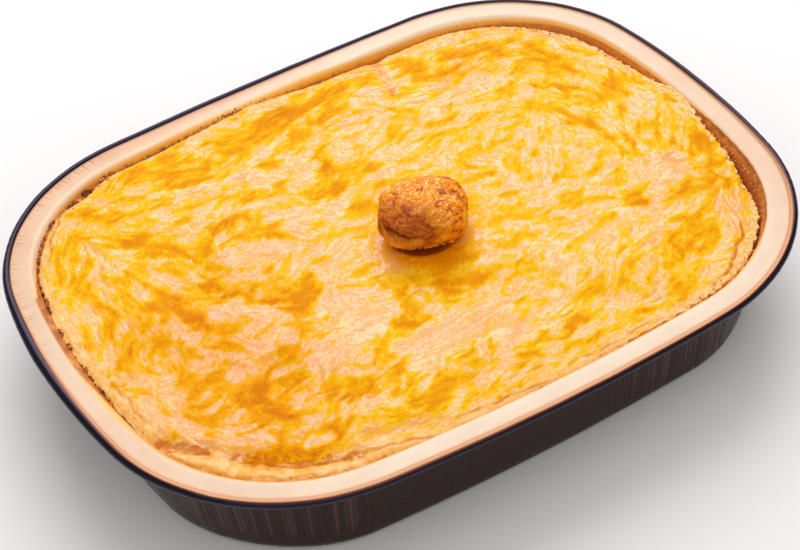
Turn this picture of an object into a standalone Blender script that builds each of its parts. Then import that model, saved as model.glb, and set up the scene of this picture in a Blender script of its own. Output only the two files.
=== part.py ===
"""A large baked chicken pie in the lacquered foil tray that it was baked in.

Metres, +Z up, the long way of the tray along X. The origin is under the middle
of the tray, on the surface that the tray stands on.

The tray's outline is a rounded rectangle with slightly bowed sides, made of eight
arcs. It is measured at the outer edge of the flat flange, and every other ring of
the tray and of the pie is a parallel curve at some inset from it.
"""

import math

import bmesh
import bpy
import numpy as np

# Outline at the outer edge of the flat flange.
FLANGE_HALF_LENGTH = 0.1460
FLANGE_HALF_WIDTH = 0.1148
CORNER_RADIUS = 0.0760
END_BOW = 0.0026
SIDE_BOW = 0.0023

# Tray section. Insets run inwards from the flange's outer edge.
FLANGE_HEIGHT = 0.0446
FOIL = 0.00045
SHOULDER_START = 0.0070
SHOULDER_RADIUS = 0.0026
WALL_TOP_INSET = 0.0096
WALL_FOOT_INSET = 0.0138
FOOT_RADIUS = 0.0050
CORNER_TUCK = 0.0020
BEAD_RADIUS = 0.0015
BEAD_CENTRE_INSET = -0.0013
BEAD_CENTRE_DROP = 0.0003
BEAD_FIRST_ANGLE = math.radians(25)
BEAD_LAST_ANGLE = math.radians(305)
FLANGE_EDGE_INSET = 0.0003

# The foil rim isn't quite level: it is twisted a little, and its two ends turn up.
RIM_TWIST = 0.115
RIM_END_RISE = 0.149
RIM_SIDE_RISE = 0.057
RIM_LEVEL_DROP = 0.00196

# Pie crust.
CLEARANCE = 0.00035
CRUST_EDGE_DROP = 0.0036
CRUST_SIDE_TOP_DROP = 0.0125
CRUST_EDGE_GAP = 0.0012
CRUST_LIP = 0.0016
CRUST_LIP_LEAN = 0.0004
DOME_RISE = 0.0052
DOME_REACH = 0.0300
WAVE_HEIGHT = 0.0011
WAVE_COUNT = 12
WAVE_SHORTEST = 0.030
WAVE_LONGEST = 0.080
WAVE_SEED = 11
EDGE_CALM = 0.012

# Where the crust's edge leaves its usual place: bearing and spread in degrees, then how
# much further it stands from the wall, and how much higher.
EDGE_PLACES = (
    (98.0, 15.0, -0.0011, 0.0031),
    (0.0, 7.0, -0.0011, 0.0031),
    (203.0, 14.0, -0.0010, 0.0010),
    (68.0, 10.0, 0.0016, -0.0004),
    (34.0, 8.0, 0.0012, 0.0),
    (-20.0, 7.0, 0.0032, -0.0004),
    (141.0, 9.0, 0.0009, -0.0004),
)
EDGE_PLACE_REACH = 0.010
EDGE_WANDER = 0.0003
EDGE_WANDER_TURNS = (5, 11, 23)

# Folds in the crust: start, end, half width and depth.
FOLDS = (
    ((-0.129, -0.051), (-0.117, -0.064), 0.0036, 0.0018),
    ((-0.110, -0.072), (-0.092, -0.087), 0.0040, 0.0015),
    ((-0.092, -0.087), (-0.072, -0.096), 0.0040, 0.0015),
    ((-0.066, -0.091), (-0.040, -0.099), 0.0036, 0.0010),
    ((0.049, 0.100), (0.043, 0.074), 0.0036, 0.0013),
    ((0.108, 0.052), (0.119, 0.036), 0.0036, 0.0010),
)

# Ball of pastry that sits on the middle of the crust.
BALL_CENTRE = (0.0066, -0.0100)
BALL_HALF_LENGTH = 0.0182
BALL_HALF_WIDTH = 0.0168
BALL_HALF_HEIGHT = 0.0106
BALL_FLAT_DROP = 0.0082
BALL_LUMP = 0.05
BALL_LUMPS = 9
BALL_LUMP_NARROWNESS = 6
BALL_LUMP_SEED = 5
BALL_DETAIL = 4
BALL_SLIT_BEARING = 205.0
BALL_SLIT_SPREAD = 48.0
BALL_SLIT_HEIGHT = -0.34
BALL_SLIT_HALF_WIDTH = 0.13
BALL_SLIT_DEPTH = 0.09
SEAT_RADIUS = 0.013
SEAT_FADE = 0.012

# How finely the curves are cut.
TRAY_STATIONS = 72
PIE_COLUMNS = 38
PIE_ROWS = 30
PIE_CROWDING = 0.5
ARC_STEPS = 3
BEAD_STEPS = 7
SHARP_FROM = math.radians(40)

QUARTER = math.pi / 2


# ---------------------------------------------------------------- outline


def outline_arcs():
    """The eight arcs of the outline, anticlockwise from the +X end: end, corner, side, corner and so on.

    Each is (centre x, centre y, radius at zero inset, first angle, last angle).
    """
    core_x = FLANGE_HALF_LENGTH - CORNER_RADIUS - END_BOW
    core_y = FLANGE_HALF_WIDTH - CORNER_RADIUS - SIDE_BOW
    end_radius = (core_y**2 + END_BOW**2) / (2 * END_BOW)
    side_radius = (core_x**2 + SIDE_BOW**2) / (2 * SIDE_BOW)
    end_turn = math.asin(core_y / end_radius)
    side_turn = math.asin(core_x / side_radius)
    end_centre = core_x + END_BOW - end_radius
    side_centre = core_y + SIDE_BOW - side_radius
    arcs = []
    for quarter in range(4):
        facing = quarter * QUARTER
        along_x = quarter % 2 == 0
        turn = end_turn if along_x else side_turn
        next_turn = side_turn if along_x else end_turn
        reach = end_centre if along_x else side_centre
        radius = (end_radius if along_x else side_radius) + CORNER_RADIUS
        centre = (reach * math.cos(facing), reach * math.sin(facing))
        arcs.append((*centre, radius, facing - turn, facing + turn))
        corner = facing + QUARTER / 2
        corner_x = math.copysign(core_x, math.cos(corner))
        corner_y = math.copysign(core_y, math.sin(corner))
        arcs.append((corner_x, corner_y, CORNER_RADIUS, facing + turn, facing + QUARTER - next_turn))
    return arcs


ARCS = outline_arcs()
ARC_LENGTHS = [radius * (last - first) for _, _, radius, first, last in ARCS]
OUTLINE_LENGTH = sum(ARC_LENGTHS)


def outline_place(distance):
    """The arc and the facing angle at a distance along the outline from the start of the +X end."""
    distance %= OUTLINE_LENGTH
    for arc, length in zip(ARCS, ARC_LENGTHS):
        if distance <= length:
            break
        distance -= length
    first, last = arc[3], arc[4]
    return arc, first + (last - first) * min(distance / length, 1.0)


def outline_point(distance, inset):
    """The point of the parallel curve at this inset, on the outline's normal at this distance."""
    (centre_x, centre_y, radius, _, _), facing = outline_place(distance)
    reach = radius - inset
    return centre_x + reach * math.cos(facing), centre_y + reach * math.sin(facing)


def depth_inside(x, y):
    """How far a point lies inside the flange's outer edge."""
    core_x = FLANGE_HALF_LENGTH - CORNER_RADIUS
    core_y = FLANGE_HALF_WIDTH - CORNER_RADIUS
    bowed_x = abs(x) + END_BOW * min(abs(y) / core_y, 1.0) ** 2
    bowed_y = abs(y) + SIDE_BOW * min(abs(x) / core_x, 1.0) ** 2
    over_x = bowed_x - core_x
    over_y = bowed_y - core_y
    outside = math.hypot(max(over_x, 0.0), max(over_y, 0.0))
    return CORNER_RADIUS - outside - min(max(over_x, over_y), 0.0)


def rim_lift(x, y):
    """How far the bent rim stands above level here."""
    return RIM_TWIST * x * y + RIM_END_RISE * x**2 + RIM_SIDE_RISE * y**2 - RIM_LEVEL_DROP


def bent(x, y, z):
    """A point after the tray's bend, which grows from nothing at the base to all of it at the rim."""
    return x, y, z + rim_lift(x, y) * z / FLANGE_HEIGHT


# ---------------------------------------------------------------- sections


def arc_points(centre, radius, first, last, steps):
    """Points along an arc in the section plane, as (inset, height)."""
    angles = [first + (last - first) * k / steps for k in range(steps + 1)]
    return [(centre[0] + radius * math.cos(a), centre[1] + radius * math.sin(a)) for a in angles]


def foil_section(offset):
    """The foil from the base to the flange's outer edge, moved by offset towards the food.

    Points are (inset, height). The wall leans, and a round of its own radius joins it
    to the base and to the flange.
    """
    lean = math.atan2(WALL_FOOT_INSET - WALL_TOP_INSET, FLANGE_HEIGHT)
    foot_radius = FOOT_RADIUS - offset
    foot_height = FOIL / 2 + offset + foot_radius
    foot_slant = FOOT_RADIUS / math.tan((QUARTER + lean) / 2)
    foot_centre = (WALL_FOOT_INSET + foot_slant, foot_height)
    shoulder_radius = SHOULDER_RADIUS + offset
    shoulder_centre = (SHOULDER_START, FLANGE_HEIGHT - FOIL / 2 - SHOULDER_RADIUS)
    foot = arc_points(foot_centre, foot_radius, -QUARTER, -math.pi + lean, ARC_STEPS)
    shoulder = arc_points(shoulder_centre, shoulder_radius, lean, QUARTER, ARC_STEPS)
    return foot + shoulder + [(FLANGE_EDGE_INSET, FLANGE_HEIGHT - FOIL / 2 + offset)]


def wall_inset(offset, height):
    """Inset of the straight part of the wall at this height, moved by offset towards the food."""
    section = foil_section(offset)
    (foot_inset, foot_height), (top_inset, top_height) = section[ARC_STEPS], section[ARC_STEPS + 1]
    share = (height - foot_height) / (top_height - foot_height)
    return foot_inset + (top_inset - foot_inset) * share


def food_side_inset(height):
    """Inset of the nearest place to the tray that food can reach at this height."""
    clear = FOIL / 2 + CLEARANCE
    above = height - (FLANGE_HEIGHT - FOIL / 2 - SHOULDER_RADIUS)
    if above <= 0:
        return wall_inset(clear, height)
    return SHOULDER_START + math.sqrt(max((SHOULDER_RADIUS + clear) ** 2 - above**2, 0.0))


def bead_section():
    """The rolled edge, from the flange's top over and under to the flange's underside."""
    centre = (BEAD_CENTRE_INSET, FLANGE_HEIGHT - BEAD_CENTRE_DROP)
    return arc_points(centre, BEAD_RADIUS, BEAD_FIRST_ANGLE, BEAD_LAST_ANGLE, BEAD_STEPS)


def corner_tuck(facing, height):
    """Extra inset of the lower wall at the corners, whose radius grows towards the base."""
    return CORNER_TUCK * math.sin(2 * facing) ** 2 * max(0.0, 1 - height / FLANGE_HEIGHT)


def section_ring(distances, inset, height):
    """One ring of a section carried round the outline."""
    ring = []
    for distance in distances:
        _, facing = outline_place(distance)
        x, y = outline_point(distance, inset + corner_tuck(facing, height))
        ring.append(bent(x, y, height))
    return ring


# ---------------------------------------------------------------- crust


def crust_waves():
    """The crust's broad swells, as rows of (x rate, y rate, phase, height)."""
    rng = np.random.default_rng(WAVE_SEED)
    lengths = np.geomspace(WAVE_SHORTEST, WAVE_LONGEST, WAVE_COUNT)
    headings = rng.uniform(0, 2 * math.pi, WAVE_COUNT)
    phases = rng.uniform(0, 2 * math.pi, WAVE_COUNT)
    heights = WAVE_HEIGHT * (lengths / WAVE_LONGEST) / math.sqrt(WAVE_COUNT / 2)
    rates = 2 * math.pi / lengths
    return list(zip(rates * np.cos(headings), rates * np.sin(headings), phases, heights))


WAVES = crust_waves()


def smooth_step(value):
    """0 up to 0, 1 from 1 on, and a smooth rise between."""
    value = min(max(value, 0.0), 1.0)
    return value * value * (3 - 2 * value)


def fold_depth(x, y):
    """How far the folds sink the crust here."""
    depth = 0.0
    for start, end, half_width, deepest in FOLDS:
        run_x, run_y = end[0] - start[0], end[1] - start[1]
        share = ((x - start[0]) * run_x + (y - start[1]) * run_y) / (run_x**2 + run_y**2)
        share = min(max(share, 0.0), 1.0)
        away = math.hypot(x - start[0] - share * run_x, y - start[1] - share * run_y)
        depth = max(depth, deepest * math.exp(-((away / half_width) ** 2)))
    return depth


def edge_change(x, y):
    """How much further from the wall, and how much higher, the crust's edge is on this bearing."""
    gap, rise = 0.0, 0.0
    for bearing, spread, further, higher in EDGE_PLACES:
        turned = math.remainder(math.degrees(math.atan2(y, x)) - bearing, 360)
        share = math.exp(-((turned / spread) ** 2))
        gap += further * share
        rise += higher * share
    return gap, rise


def inwards_of_edge(x, y):
    """How far a point lies inside the crust's usual edge."""
    return max(depth_inside(x, y) - WALL_TOP_INSET - CRUST_EDGE_GAP, 0.0)


def dome_height(x, y):
    """Height of the dome, with the places where its edge rides up the tray."""
    inwards = inwards_of_edge(x, y)
    rise = edge_change(x, y)[1] * math.exp(-inwards / EDGE_PLACE_REACH)
    dome = DOME_RISE * (1 - math.exp(-inwards / DOME_REACH))
    return FLANGE_HEIGHT - CRUST_EDGE_DROP + dome + rise


def crust_height(x, y):
    """Height of the crust before the tray's bend, with a small flat seat under the ball."""
    swell = sum(high * math.sin(rx * x + ry * y + phase) for rx, ry, phase, high in WAVES)
    relief = swell * (1 - math.exp(-inwards_of_edge(x, y) / EDGE_CALM)) - fold_depth(x, y)
    away = math.hypot(x - BALL_CENTRE[0], y - BALL_CENTRE[1])
    seat = 1 - smooth_step((away - SEAT_RADIUS) / SEAT_FADE)
    return (dome_height(x, y) + relief) * (1 - seat) + dome_height(*BALL_CENTRE) * seat


def crust_edge_inset(distance):
    """Inset of the crust's edge, which wanders near the tray and never touches it."""
    x, y = outline_point(distance, WALL_TOP_INSET + CRUST_EDGE_GAP)
    gap, rise = edge_change(x, y)
    lap = 2 * math.pi * distance / OUTLINE_LENGTH
    wander = sum(EDGE_WANDER * math.sin(turns * lap + turns) for turns in EDGE_WANDER_TURNS)
    tray = food_side_inset(FLANGE_HEIGHT - CRUST_EDGE_DROP + max(rise, 0.0))
    return tray + max(CRUST_EDGE_GAP + gap + wander, 0.0)


def crowded(count):
    """Shares from 0 to 1 that crowd together towards both ends."""
    shares = [k / count for k in range(count + 1)]
    return [s - PIE_CROWDING * math.sin(2 * math.pi * s) / (2 * math.pi) for s in shares]


def pie_distances():
    """Distances of the pie's stations, for each of the outline's four stretches between corners."""
    corner = ARC_LENGTHS[1]
    end_stretch = ARC_LENGTHS[0] + corner
    side_stretch = ARC_LENGTHS[2] + corner
    start = -corner / 2
    stretches = []
    for length, count in ((end_stretch, PIE_ROWS), (side_stretch, PIE_COLUMNS)) * 2:
        stretches.append([start + length * share for share in crowded(count)])
        start += length
    return stretches


def patch_point(u, v, bottom, right, top, left, column, row):
    """A point of the patch that its four edge curves span, at shares u and v."""
    blend = (1 - v) * bottom[column] + v * top[column] + (1 - u) * left[row] + u * right[row]
    low = (1 - u) * bottom[0] + u * bottom[-1]
    high = (1 - u) * top[0] + u * top[-1]
    return blend - (1 - v) * low - v * high


# ---------------------------------------------------------------- meshes


def material(name, colour, roughness, metallic=0.0):
    """A plain finish with its colour in linear values."""
    made = bpy.data.materials.new(name)
    made.use_nodes = True
    shader = made.node_tree.nodes["Principled BSDF"]
    shader.inputs["Base Color"].default_value = (*colour, 1.0)
    shader.inputs["Roughness"].default_value = roughness
    shader.inputs["Metallic"].default_value = metallic
    return made


def add_object(name, mesh_builder, materials):
    """A named object whose mesh a builder fills in, with its faces turned outwards."""
    mesh = bpy.data.meshes.new(name)
    shell = bmesh.new()
    mesh_builder(shell)
    bmesh.ops.recalc_face_normals(shell, faces=shell.faces)
    bmesh.ops.triangulate(shell, faces=shell.faces)
    shell.to_mesh(mesh)
    shell.free()
    for finish in materials:
        mesh.materials.append(finish)
    mesh.shade_smooth()
    mesh.set_sharp_from_angle(angle=SHARP_FROM)
    made = bpy.data.objects.new(name, mesh)
    bpy.context.scene.collection.objects.link(made)
    return made


def bridge(shell, lower, upper, slot=0):
    """Quads between two rings with the same number of points."""
    for k in range(len(lower)):
        following = (k + 1) % len(lower)
        face = shell.faces.new((lower[k], lower[following], upper[following], upper[k]))
        face.material_index = slot


def build_tray(shell):
    """Food side, rolled bead and outside, as rings joined into one closed skin."""
    distances = [OUTLINE_LENGTH * k / TRAY_STATIONS for k in range(TRAY_STATIONS)]
    inside = foil_section(FOIL / 2)
    outside = foil_section(-FOIL / 2)
    section = inside + bead_section() + outside[::-1]
    rings = []
    for inset, height in section:
        rings.append([shell.verts.new(point) for point in section_ring(distances, inset, height)])
    for k in range(len(rings) - 1):
        bridge(shell, rings[k], rings[k + 1], slot=int(k >= len(inside)))
    shell.faces.new(rings[0])
    shell.faces.new(rings[-1]).material_index = 1


def build_pie(shell):
    """Pie with a flat base, sides that follow the tray, and a domed crust with an open edge."""
    stretches = pie_distances()
    distances = [d for stretch in stretches for d in stretch[:-1]]
    skin = FOIL / 2 + CLEARANCE
    side_top = FLANGE_HEIGHT - CRUST_SIDE_TOP_DROP
    foot = foil_section(skin)[: ARC_STEPS + 1]
    sides = [section_ring(distances, *point) for point in foot]
    sides.append(section_ring(distances, wall_inset(skin, side_top), side_top))
    lip, edge = [], []
    for distance in distances:
        inset = crust_edge_inset(distance)
        x, y = outline_point(distance, inset)
        edge.append(bent(x, y, crust_height(x, y)))
        x, y = outline_point(distance, inset + CRUST_LIP_LEAN)
        lip.append(bent(x, y, crust_height(x, y) - CRUST_LIP))
    sides.append(lip)
    rings = [[shell.verts.new(point) for point in ring] for ring in sides + [edge]]
    for lower, upper in zip(rings, rings[1:]):
        bridge(shell, lower, upper)
    shell.faces.new(rings[0])
    fill_crust(shell, rings[-1], stretches)


def fill_crust(shell, edge, stretches):
    """The top of the crust, as a patch between the four stretches of its edge."""
    counts = [len(stretch) - 1 for stretch in stretches]
    starts = [sum(counts[:k]) for k in range(4)]
    flat = np.array([vert.co[:2] for vert in edge])
    runs = [[(start + k) % len(edge) for k in range(count + 1)] for start, count in zip(starts, counts)]
    right, top, left, bottom = runs[0], runs[1][::-1], runs[2][::-1], runs[3]
    curves = [flat[run] for run in (bottom, right, top, left)]
    grid = {}
    for column, u in enumerate(crowded(PIE_COLUMNS)):
        for row, v in enumerate(crowded(PIE_ROWS)):
            if row in (0, PIE_ROWS):
                grid[column, row] = edge[(bottom if row == 0 else top)[column]]
            elif column in (0, PIE_COLUMNS):
                grid[column, row] = edge[(left if column == 0 else right)[row]]
            else:
                x, y = patch_point(u, v, *curves, column, row)
                grid[column, row] = shell.verts.new(bent(x, y, crust_height(x, y)))
    for column in range(PIE_COLUMNS):
        for row in range(PIE_ROWS):
            corners = ((column, row), (column + 1, row), (column + 1, row + 1), (column, row + 1))
            shell.faces.new([grid[corner] for corner in corners])


def ball_slit(way):
    """How deep the slit between the ball's browned cap and its pale foot is, facing this way."""
    bearing = math.degrees(math.atan2(way[1], way[0]))
    turned = math.remainder(bearing - BALL_SLIT_BEARING, 360) / BALL_SLIT_SPREAD
    above = (way[2] - BALL_SLIT_HEIGHT) / BALL_SLIT_HALF_WIDTH
    return BALL_SLIT_DEPTH * math.exp(-(turned**2) - above**2)


def build_ball(shell):
    """A lumpy ball of pastry with a slit low on one side, flat where it sits on the crust."""
    rng = np.random.default_rng(BALL_LUMP_SEED)
    headings = rng.normal(size=(BALL_LUMPS, 3))
    headings /= np.linalg.norm(headings, axis=1, keepdims=True)
    signs = rng.uniform(-1, 1, BALL_LUMPS)
    _, _, seat = bent(*BALL_CENTRE, dome_height(*BALL_CENTRE))
    middle = seat + CLEARANCE + BALL_FLAT_DROP
    bmesh.ops.create_icosphere(shell, subdivisions=BALL_DETAIL, radius=1.0)
    for vert in shell.verts:
        way = np.array(vert.co.normalized())
        near = np.maximum(headings @ way, 0.0) ** BALL_LUMP_NARROWNESS
        lump = 1 + BALL_LUMP * float(signs @ near) - ball_slit(way)
        x = BALL_CENTRE[0] + BALL_HALF_LENGTH * lump * way[0]
        y = BALL_CENTRE[1] + BALL_HALF_WIDTH * lump * way[1]
        z = BALL_HALF_HEIGHT * lump * way[2]
        vert.co = (x, y, middle + max(z, -BALL_FLAT_DROP))


def clear_scene():
    for existing in list(bpy.data.objects):
        bpy.data.objects.remove(existing, do_unlink=True)


def main():
    clear_scene()
    gold = material("gold_lacquer", (0.80, 0.50, 0.30), 0.35, 0.9)
    black = material("black_lacquer", (0.022, 0.016, 0.016), 0.4)
    crust = material("egg_washed_crust", (0.85, 0.46, 0.12), 0.4)
    browned = material("browned_pastry", (0.55, 0.20, 0.05), 0.5)
    add_object("foil_tray", build_tray, (gold, black))
    add_object("pie", build_pie, (crust,))
    add_object("pastry_ball", build_ball, (browned,))


main()
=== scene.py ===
"""A large baked chicken pie in its lacquered foil tray, with a ball of pastry on its crust.

Metres, +Z up, the long way of the tray along X, the origin on the floor under the
tray's middle. The outline of the tray is eight arcs, measured at the outer edge of its
flat flange, and every ring of the foil and of the pie is a parallel curve at an inset
from it.
"""

import math

import bmesh
import bpy
import numpy as np
from mathutils import Matrix, Vector, noise


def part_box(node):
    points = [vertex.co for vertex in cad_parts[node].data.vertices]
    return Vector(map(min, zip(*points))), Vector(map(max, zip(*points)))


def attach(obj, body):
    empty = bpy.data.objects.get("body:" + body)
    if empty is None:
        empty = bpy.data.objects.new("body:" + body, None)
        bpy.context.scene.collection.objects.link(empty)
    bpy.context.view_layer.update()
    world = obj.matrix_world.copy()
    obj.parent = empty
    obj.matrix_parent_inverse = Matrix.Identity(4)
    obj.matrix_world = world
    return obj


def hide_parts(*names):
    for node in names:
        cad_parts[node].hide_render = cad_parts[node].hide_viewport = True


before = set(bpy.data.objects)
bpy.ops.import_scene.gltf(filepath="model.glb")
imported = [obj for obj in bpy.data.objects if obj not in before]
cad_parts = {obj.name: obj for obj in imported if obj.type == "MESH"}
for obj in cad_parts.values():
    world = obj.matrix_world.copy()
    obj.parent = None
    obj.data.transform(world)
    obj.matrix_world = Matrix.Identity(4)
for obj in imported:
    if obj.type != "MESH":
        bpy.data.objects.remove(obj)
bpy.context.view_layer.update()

MM = 0.001
QUARTER = math.pi / 2

# ---------------------------------------------------------------- sizes of the foil tray

FLANGE_HALF_LENGTH = 0.1460
FLANGE_HALF_WIDTH = 0.1148
CORNER_RADIUS = 0.0760
END_BOW = 0.0026
SIDE_BOW = 0.0023
FLANGE_HEIGHT = 0.0446
FOIL = 0.00045
SHOULDER_START = 0.0070
SHOULDER_RADIUS = 0.0026
WALL_TOP_INSET = 0.0096
WALL_FOOT_INSET = 0.0138
FOOT_RADIUS = 0.0050
CORNER_TUCK = 0.0020
BEAD_RADIUS = 0.0015
BEAD_CENTRE_INSET = -0.0013
BEAD_CENTRE_DROP = 0.0003
BEAD_FIRST_ANGLE = math.radians(25)
BEAD_LAST_ANGLE = math.radians(305)
BEAD_GOLD_STEPS = 1
FLANGE_EDGE_INSET = 0.0003
# The rim's slight bend: its rise per square metre of x times y, of x squared and of y squared,
# and how far the whole rim stands lower.
RIM_TWIST = 0.115
RIM_END_RISE = 0.149
RIM_SIDE_RISE = 0.057
RIM_LEVEL_DROP = 0.00196

# How finely the foil is cut: foot, wall, shoulder and flange, then the rolled bead.
INSIDE_STEPS = (3, 5, 8, 9)
OUTSIDE_STEPS = (4, 5, 4, 2)
BEAD_STEPS = 14

# Crimps pressed across the flange and flutes down the wall, round the corners.
CRIMP_SPACING = 0.0023
CRIMP_JITTER = 0.25
CRIMP_DEPTH = 0.00022
CRIMP_HALF_WIDTH = 0.00022
CRIMP_STATIONS = (-0.00046, -0.00018, 0.0, 0.00018, 0.00046)
CRIMP_FROM_INSET = 0.0048
CRIMP_FULL_INSET = 0.0026
CRIMP_RUN_OUT = 0.010
# How deep the crimps are on each corner's arc of the outline, from 0 to 1.
FAR_RIGHT, FAR_LEFT, NEAR_LEFT, NEAR_RIGHT = 1, 3, 5, 7
CORNER_CRIMPS = {FAR_RIGHT: 0.15, FAR_LEFT: 1.0, NEAR_LEFT: 0.12, NEAR_RIGHT: 0.3}
CRIMP_UNEVENNESS = (0.3, 1.0)
CRIMP_LATE_FADE = 0.2
FLUTE_DEPTH = 0.00050
FLUTE_UNEVENNESS = (0.35, 1.0)
FLUTE_LEAST_FADE = 0.1
FLUTE_FOOT_SHARE = 0.25
# The folds run on this far along the near side from its right corner, and down the left end from
# its far corner.
LONG_FOLD_RUN = 0.052
PLAIN_STATION = 0.0030
BEAD_WOBBLE = 0.00002
BEAD_WOBBLE_WAVES = (0.004, 0.030)
FLANGE_WOBBLE = 0.00005
FLANGE_WOBBLE_WAVES = (0.020, 0.150)
TRAY_SEED = 3

# How brown the wall's inside is baked by bearing, from 0 to 1.
BAKED_PLACES = (
    (-180, 0.9), (-172, 0.8), (-160, 0.6), (-120, 0.4), (-60, 0.4), (-45, 0.7), (-35, 1.0), (-12, 1.0),
    (0, 0.85), (25, 0.7), (45, 0.5), (60, 0.25), (120, 0.3), (146, 0.45), (156, 0.85), (164, 0.98),
    (176, 0.92), (180, 0.92),
)
# How tan the whole flange is by bearing, and how much more so its outer edge is, where a painted
# reflection darkens it as it curls down into the bead.
FLANGE_TANS = (
    (-180, 0.3), (-160, 0.5), (-140, 0.3), (-125, 0.0), (-60, 0.0), (-40, 0.2), (-25, 0.45),
    (0, 0.5), (15, 0.3), (55, 0.05), (80, 0.2), (95, 0.2), (125, 0.7), (150, 0.75), (180, 0.3),
)
EDGE_CURL_REFLECTIONS = (
    (-180, 0.5), (-90, 0.6), (-45, 0.4), (55, 0.1), (80, 0.6), (95, 0.9), (125, 1.0), (140, 0.3),
    (180, 0.5),
)
# How much further down the wall than elsewhere its amber, baked juices with a painted reflection
# of the crust, starts by bearing, in mm.
CLEAR_DROPS = (
    (-180, -1.1), (-170, -1.0), (-160, -0.3), (-145, -0.1), (30, 0), (50, 1.1), (62, 0.9), (80, -0.4),
    (95, -0.45), (115, -0.2), (125, 0.5), (138, 0.9), (150, 1.3), (157, 0.3), (163, -0.9), (180, -1.1),
)
# How far in the outer edge's tan and painted reflection reaches by bearing, in mm.
EDGE_CURL_REFLECTION_REACHES = (
    (-180, 1.8), (-90, 2.0), (0, 1.5), (70, 2.0), (95, 4.5), (125, 6.5), (140, 2.0), (180, 1.8),
)
# How far over the bead the gold lacquer shows by bearing, in degrees from its inner side.
BEAD_GOLD_ENDS = (
    (-180, 62), (-160, 85), (-145, 112), (-120, 124), (-60, 118), (-40, 90), (-25, 68), (0, 45),
    (25, 44), (60, 30), (95, 18), (125, 16), (150, 28), (170, 50), (180, 62),
)
BEAD_GOLD_FADE = 30
# How much wider than usual the bead is by bearing.
BEAD_GROWTHS = (
    (-180, 1.55), (-165, 1.45), (-150, 1.3), (-120, 1.25), (-45, 1.25), (-25, 1.1), (0, 1.0),
    (25, 0.85), (60, 0.85), (95, 1.05), (150, 1.0), (160, 1.2), (168, 1.45), (175, 1.6), (180, 1.55),
)

# ---------------------------------------------------------------- sizes of the pie

CLEARANCE = 0.00035
CRUST_EDGE_DROP = 0.0036
CRUST_SIDE_TOP_DROP = 0.0125
CRUST_EDGE_GAP = 0.0012
DOME_RISE = 0.0052
DOME_REACH = 0.0300
WAVE_HEIGHT = 0.0011
WAVE_COUNT = 12
WAVE_SHORTEST = 0.030
WAVE_LONGEST = 0.080
WAVE_SEED = 11
EDGE_CALM = 0.012

# Where the crust's edge leaves its usual place: bearing and spread in degrees, then how
# much further it stands from the wall, and how much higher.
EDGE_PLACES = (
    (98.0, 16.5, -0.0011, 0.0031),
    (0.0, 9.0, -0.0016, 0.0036),
    (170.0, 17.0, -0.0015, 0.0022),
    (200.0, 14.0, -0.0009, 0.0012),
    (232.0, 26.0, -0.0012, 0.0008),
    (68.0, 9.0, 0.0007, 0.0),
    (34.0, 8.0, 0.0012, 0.0),
    (-23.0, 6.5, 0.0036, -0.0004),
    (140.0, 13.0, -0.0008, 0.0015),
    (134.5, 5.0, 0.0034, -0.0004),
)
EDGE_PLACE_REACH = 0.010
EDGE_WANDER = 0.0003
EDGE_WANDER_TURNS = (5, 11, 23)

# Folds in the crust: start, end, half width and depth.
FOLDS = (
    ((-0.129, -0.051), (-0.117, -0.064), 0.0036, 0.0018),
    ((-0.110, -0.072), (-0.092, -0.087), 0.0040, 0.0015),
    ((-0.092, -0.087), (-0.072, -0.096), 0.0040, 0.0015),
    ((-0.066, -0.091), (-0.040, -0.099), 0.0036, 0.0010),
    ((0.049, 0.100), (0.043, 0.074), 0.0036, 0.0013),
    ((0.108, 0.052), (0.119, 0.036), 0.0036, 0.0010),
)
DEEPEST_FOLD = max(fold[3] for fold in FOLDS)

# ---------------------------------------------------------------- sizes of the ball of pastry

BALL_CENTRE = (0.0066, -0.0100)
SEAT_RADIUS = 0.013
SEAT_FADE = 0.012
BALL_FLAT_DROP = 0.0082
BALL_HALF_SIZES = (0.0178, 0.0166, 0.0102)
BALL_SQUARENESS = 2.9
BALL_FOOT_TAPER = 0.22
BALL_TAPER_REACH = 0.7
BALL_SQUARED_TO = math.radians(-27)
BALL_LUMP = 0.10
BALL_LUMPS = 12
BALL_LUMP_NARROWNESS = 8
BALL_LUMP_SEED = 5
BALL_DETAIL = 7
# Heights of the dough's unevenness and how many times finer than the ball it is.
BALL_PEBBLE = 0.052
BALL_PEBBLE_SCALE = 7.0
BALL_PEBBLE_LEVEL = 0.30
BALL_LEAST_PEBBLY = 0.2
BALL_GRIT = 0.024
BALL_GRIT_SCALE = 15.0
BALL_UNEVENNESS = 0.040
BALL_UNEVENNESS_SCALE = 2.4
BALL_WAVY_SCALE = 3.2
BALL_FOOT_SCALE = 11.0
# The slit between the ball's cap and the fold under it: first and last bearing, and the share of
# the half height at which it lies at each.
BALL_SLIT_FIRST = (172.0, 0.42)
BALL_SLIT_LAST = (252.0, 0.12)
BALL_SLIT_HALF_WIDTH = 0.07
BALL_SLIT_DEPTH = 0.075
BALL_SLIT_WANDER = 0.07
BALL_SLIT_RUN_IN = 0.15
BALL_SLIT_RUN_OUT = 0.30
BALL_SLIT_SHADE = 0.20
BALL_SLIT_BROWNING = 0.12
# The cap swells out over the slit by this much, between these shares of the half height above it.
BALL_CAP_SWELL = 0.04
BALL_CAP_FOOT = 0.2
BALL_CAP_TOP = 0.8
BALL_FOOT_TOP = -0.42
BALL_FOOT_FLARE = 0.07
BALL_FOOT_RAGGED = 0.10
BALL_FLARE_BASE = 0.6
BALL_GLAZE_RISE = 0.25
# The painted shadow round the ball's foot, a dark band close round it and a wider orange glow
# on the side away from the window: where each starts to fade, in half sizes of the ball, and how
# far it fades.
BALL_SHADOW_BAND = (0.82, 0.07)
BALL_SHADOW_GLOW = (0.84, 0.55)
BALL_SHADOW_BEARING = math.radians(232)
BALL_SHADOW_BAND_SHARE = 0.6
BALL_SHADOW_BEHIND = 0.4
BALL_SHADOW_GLOW_SHARE = 0.4
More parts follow.
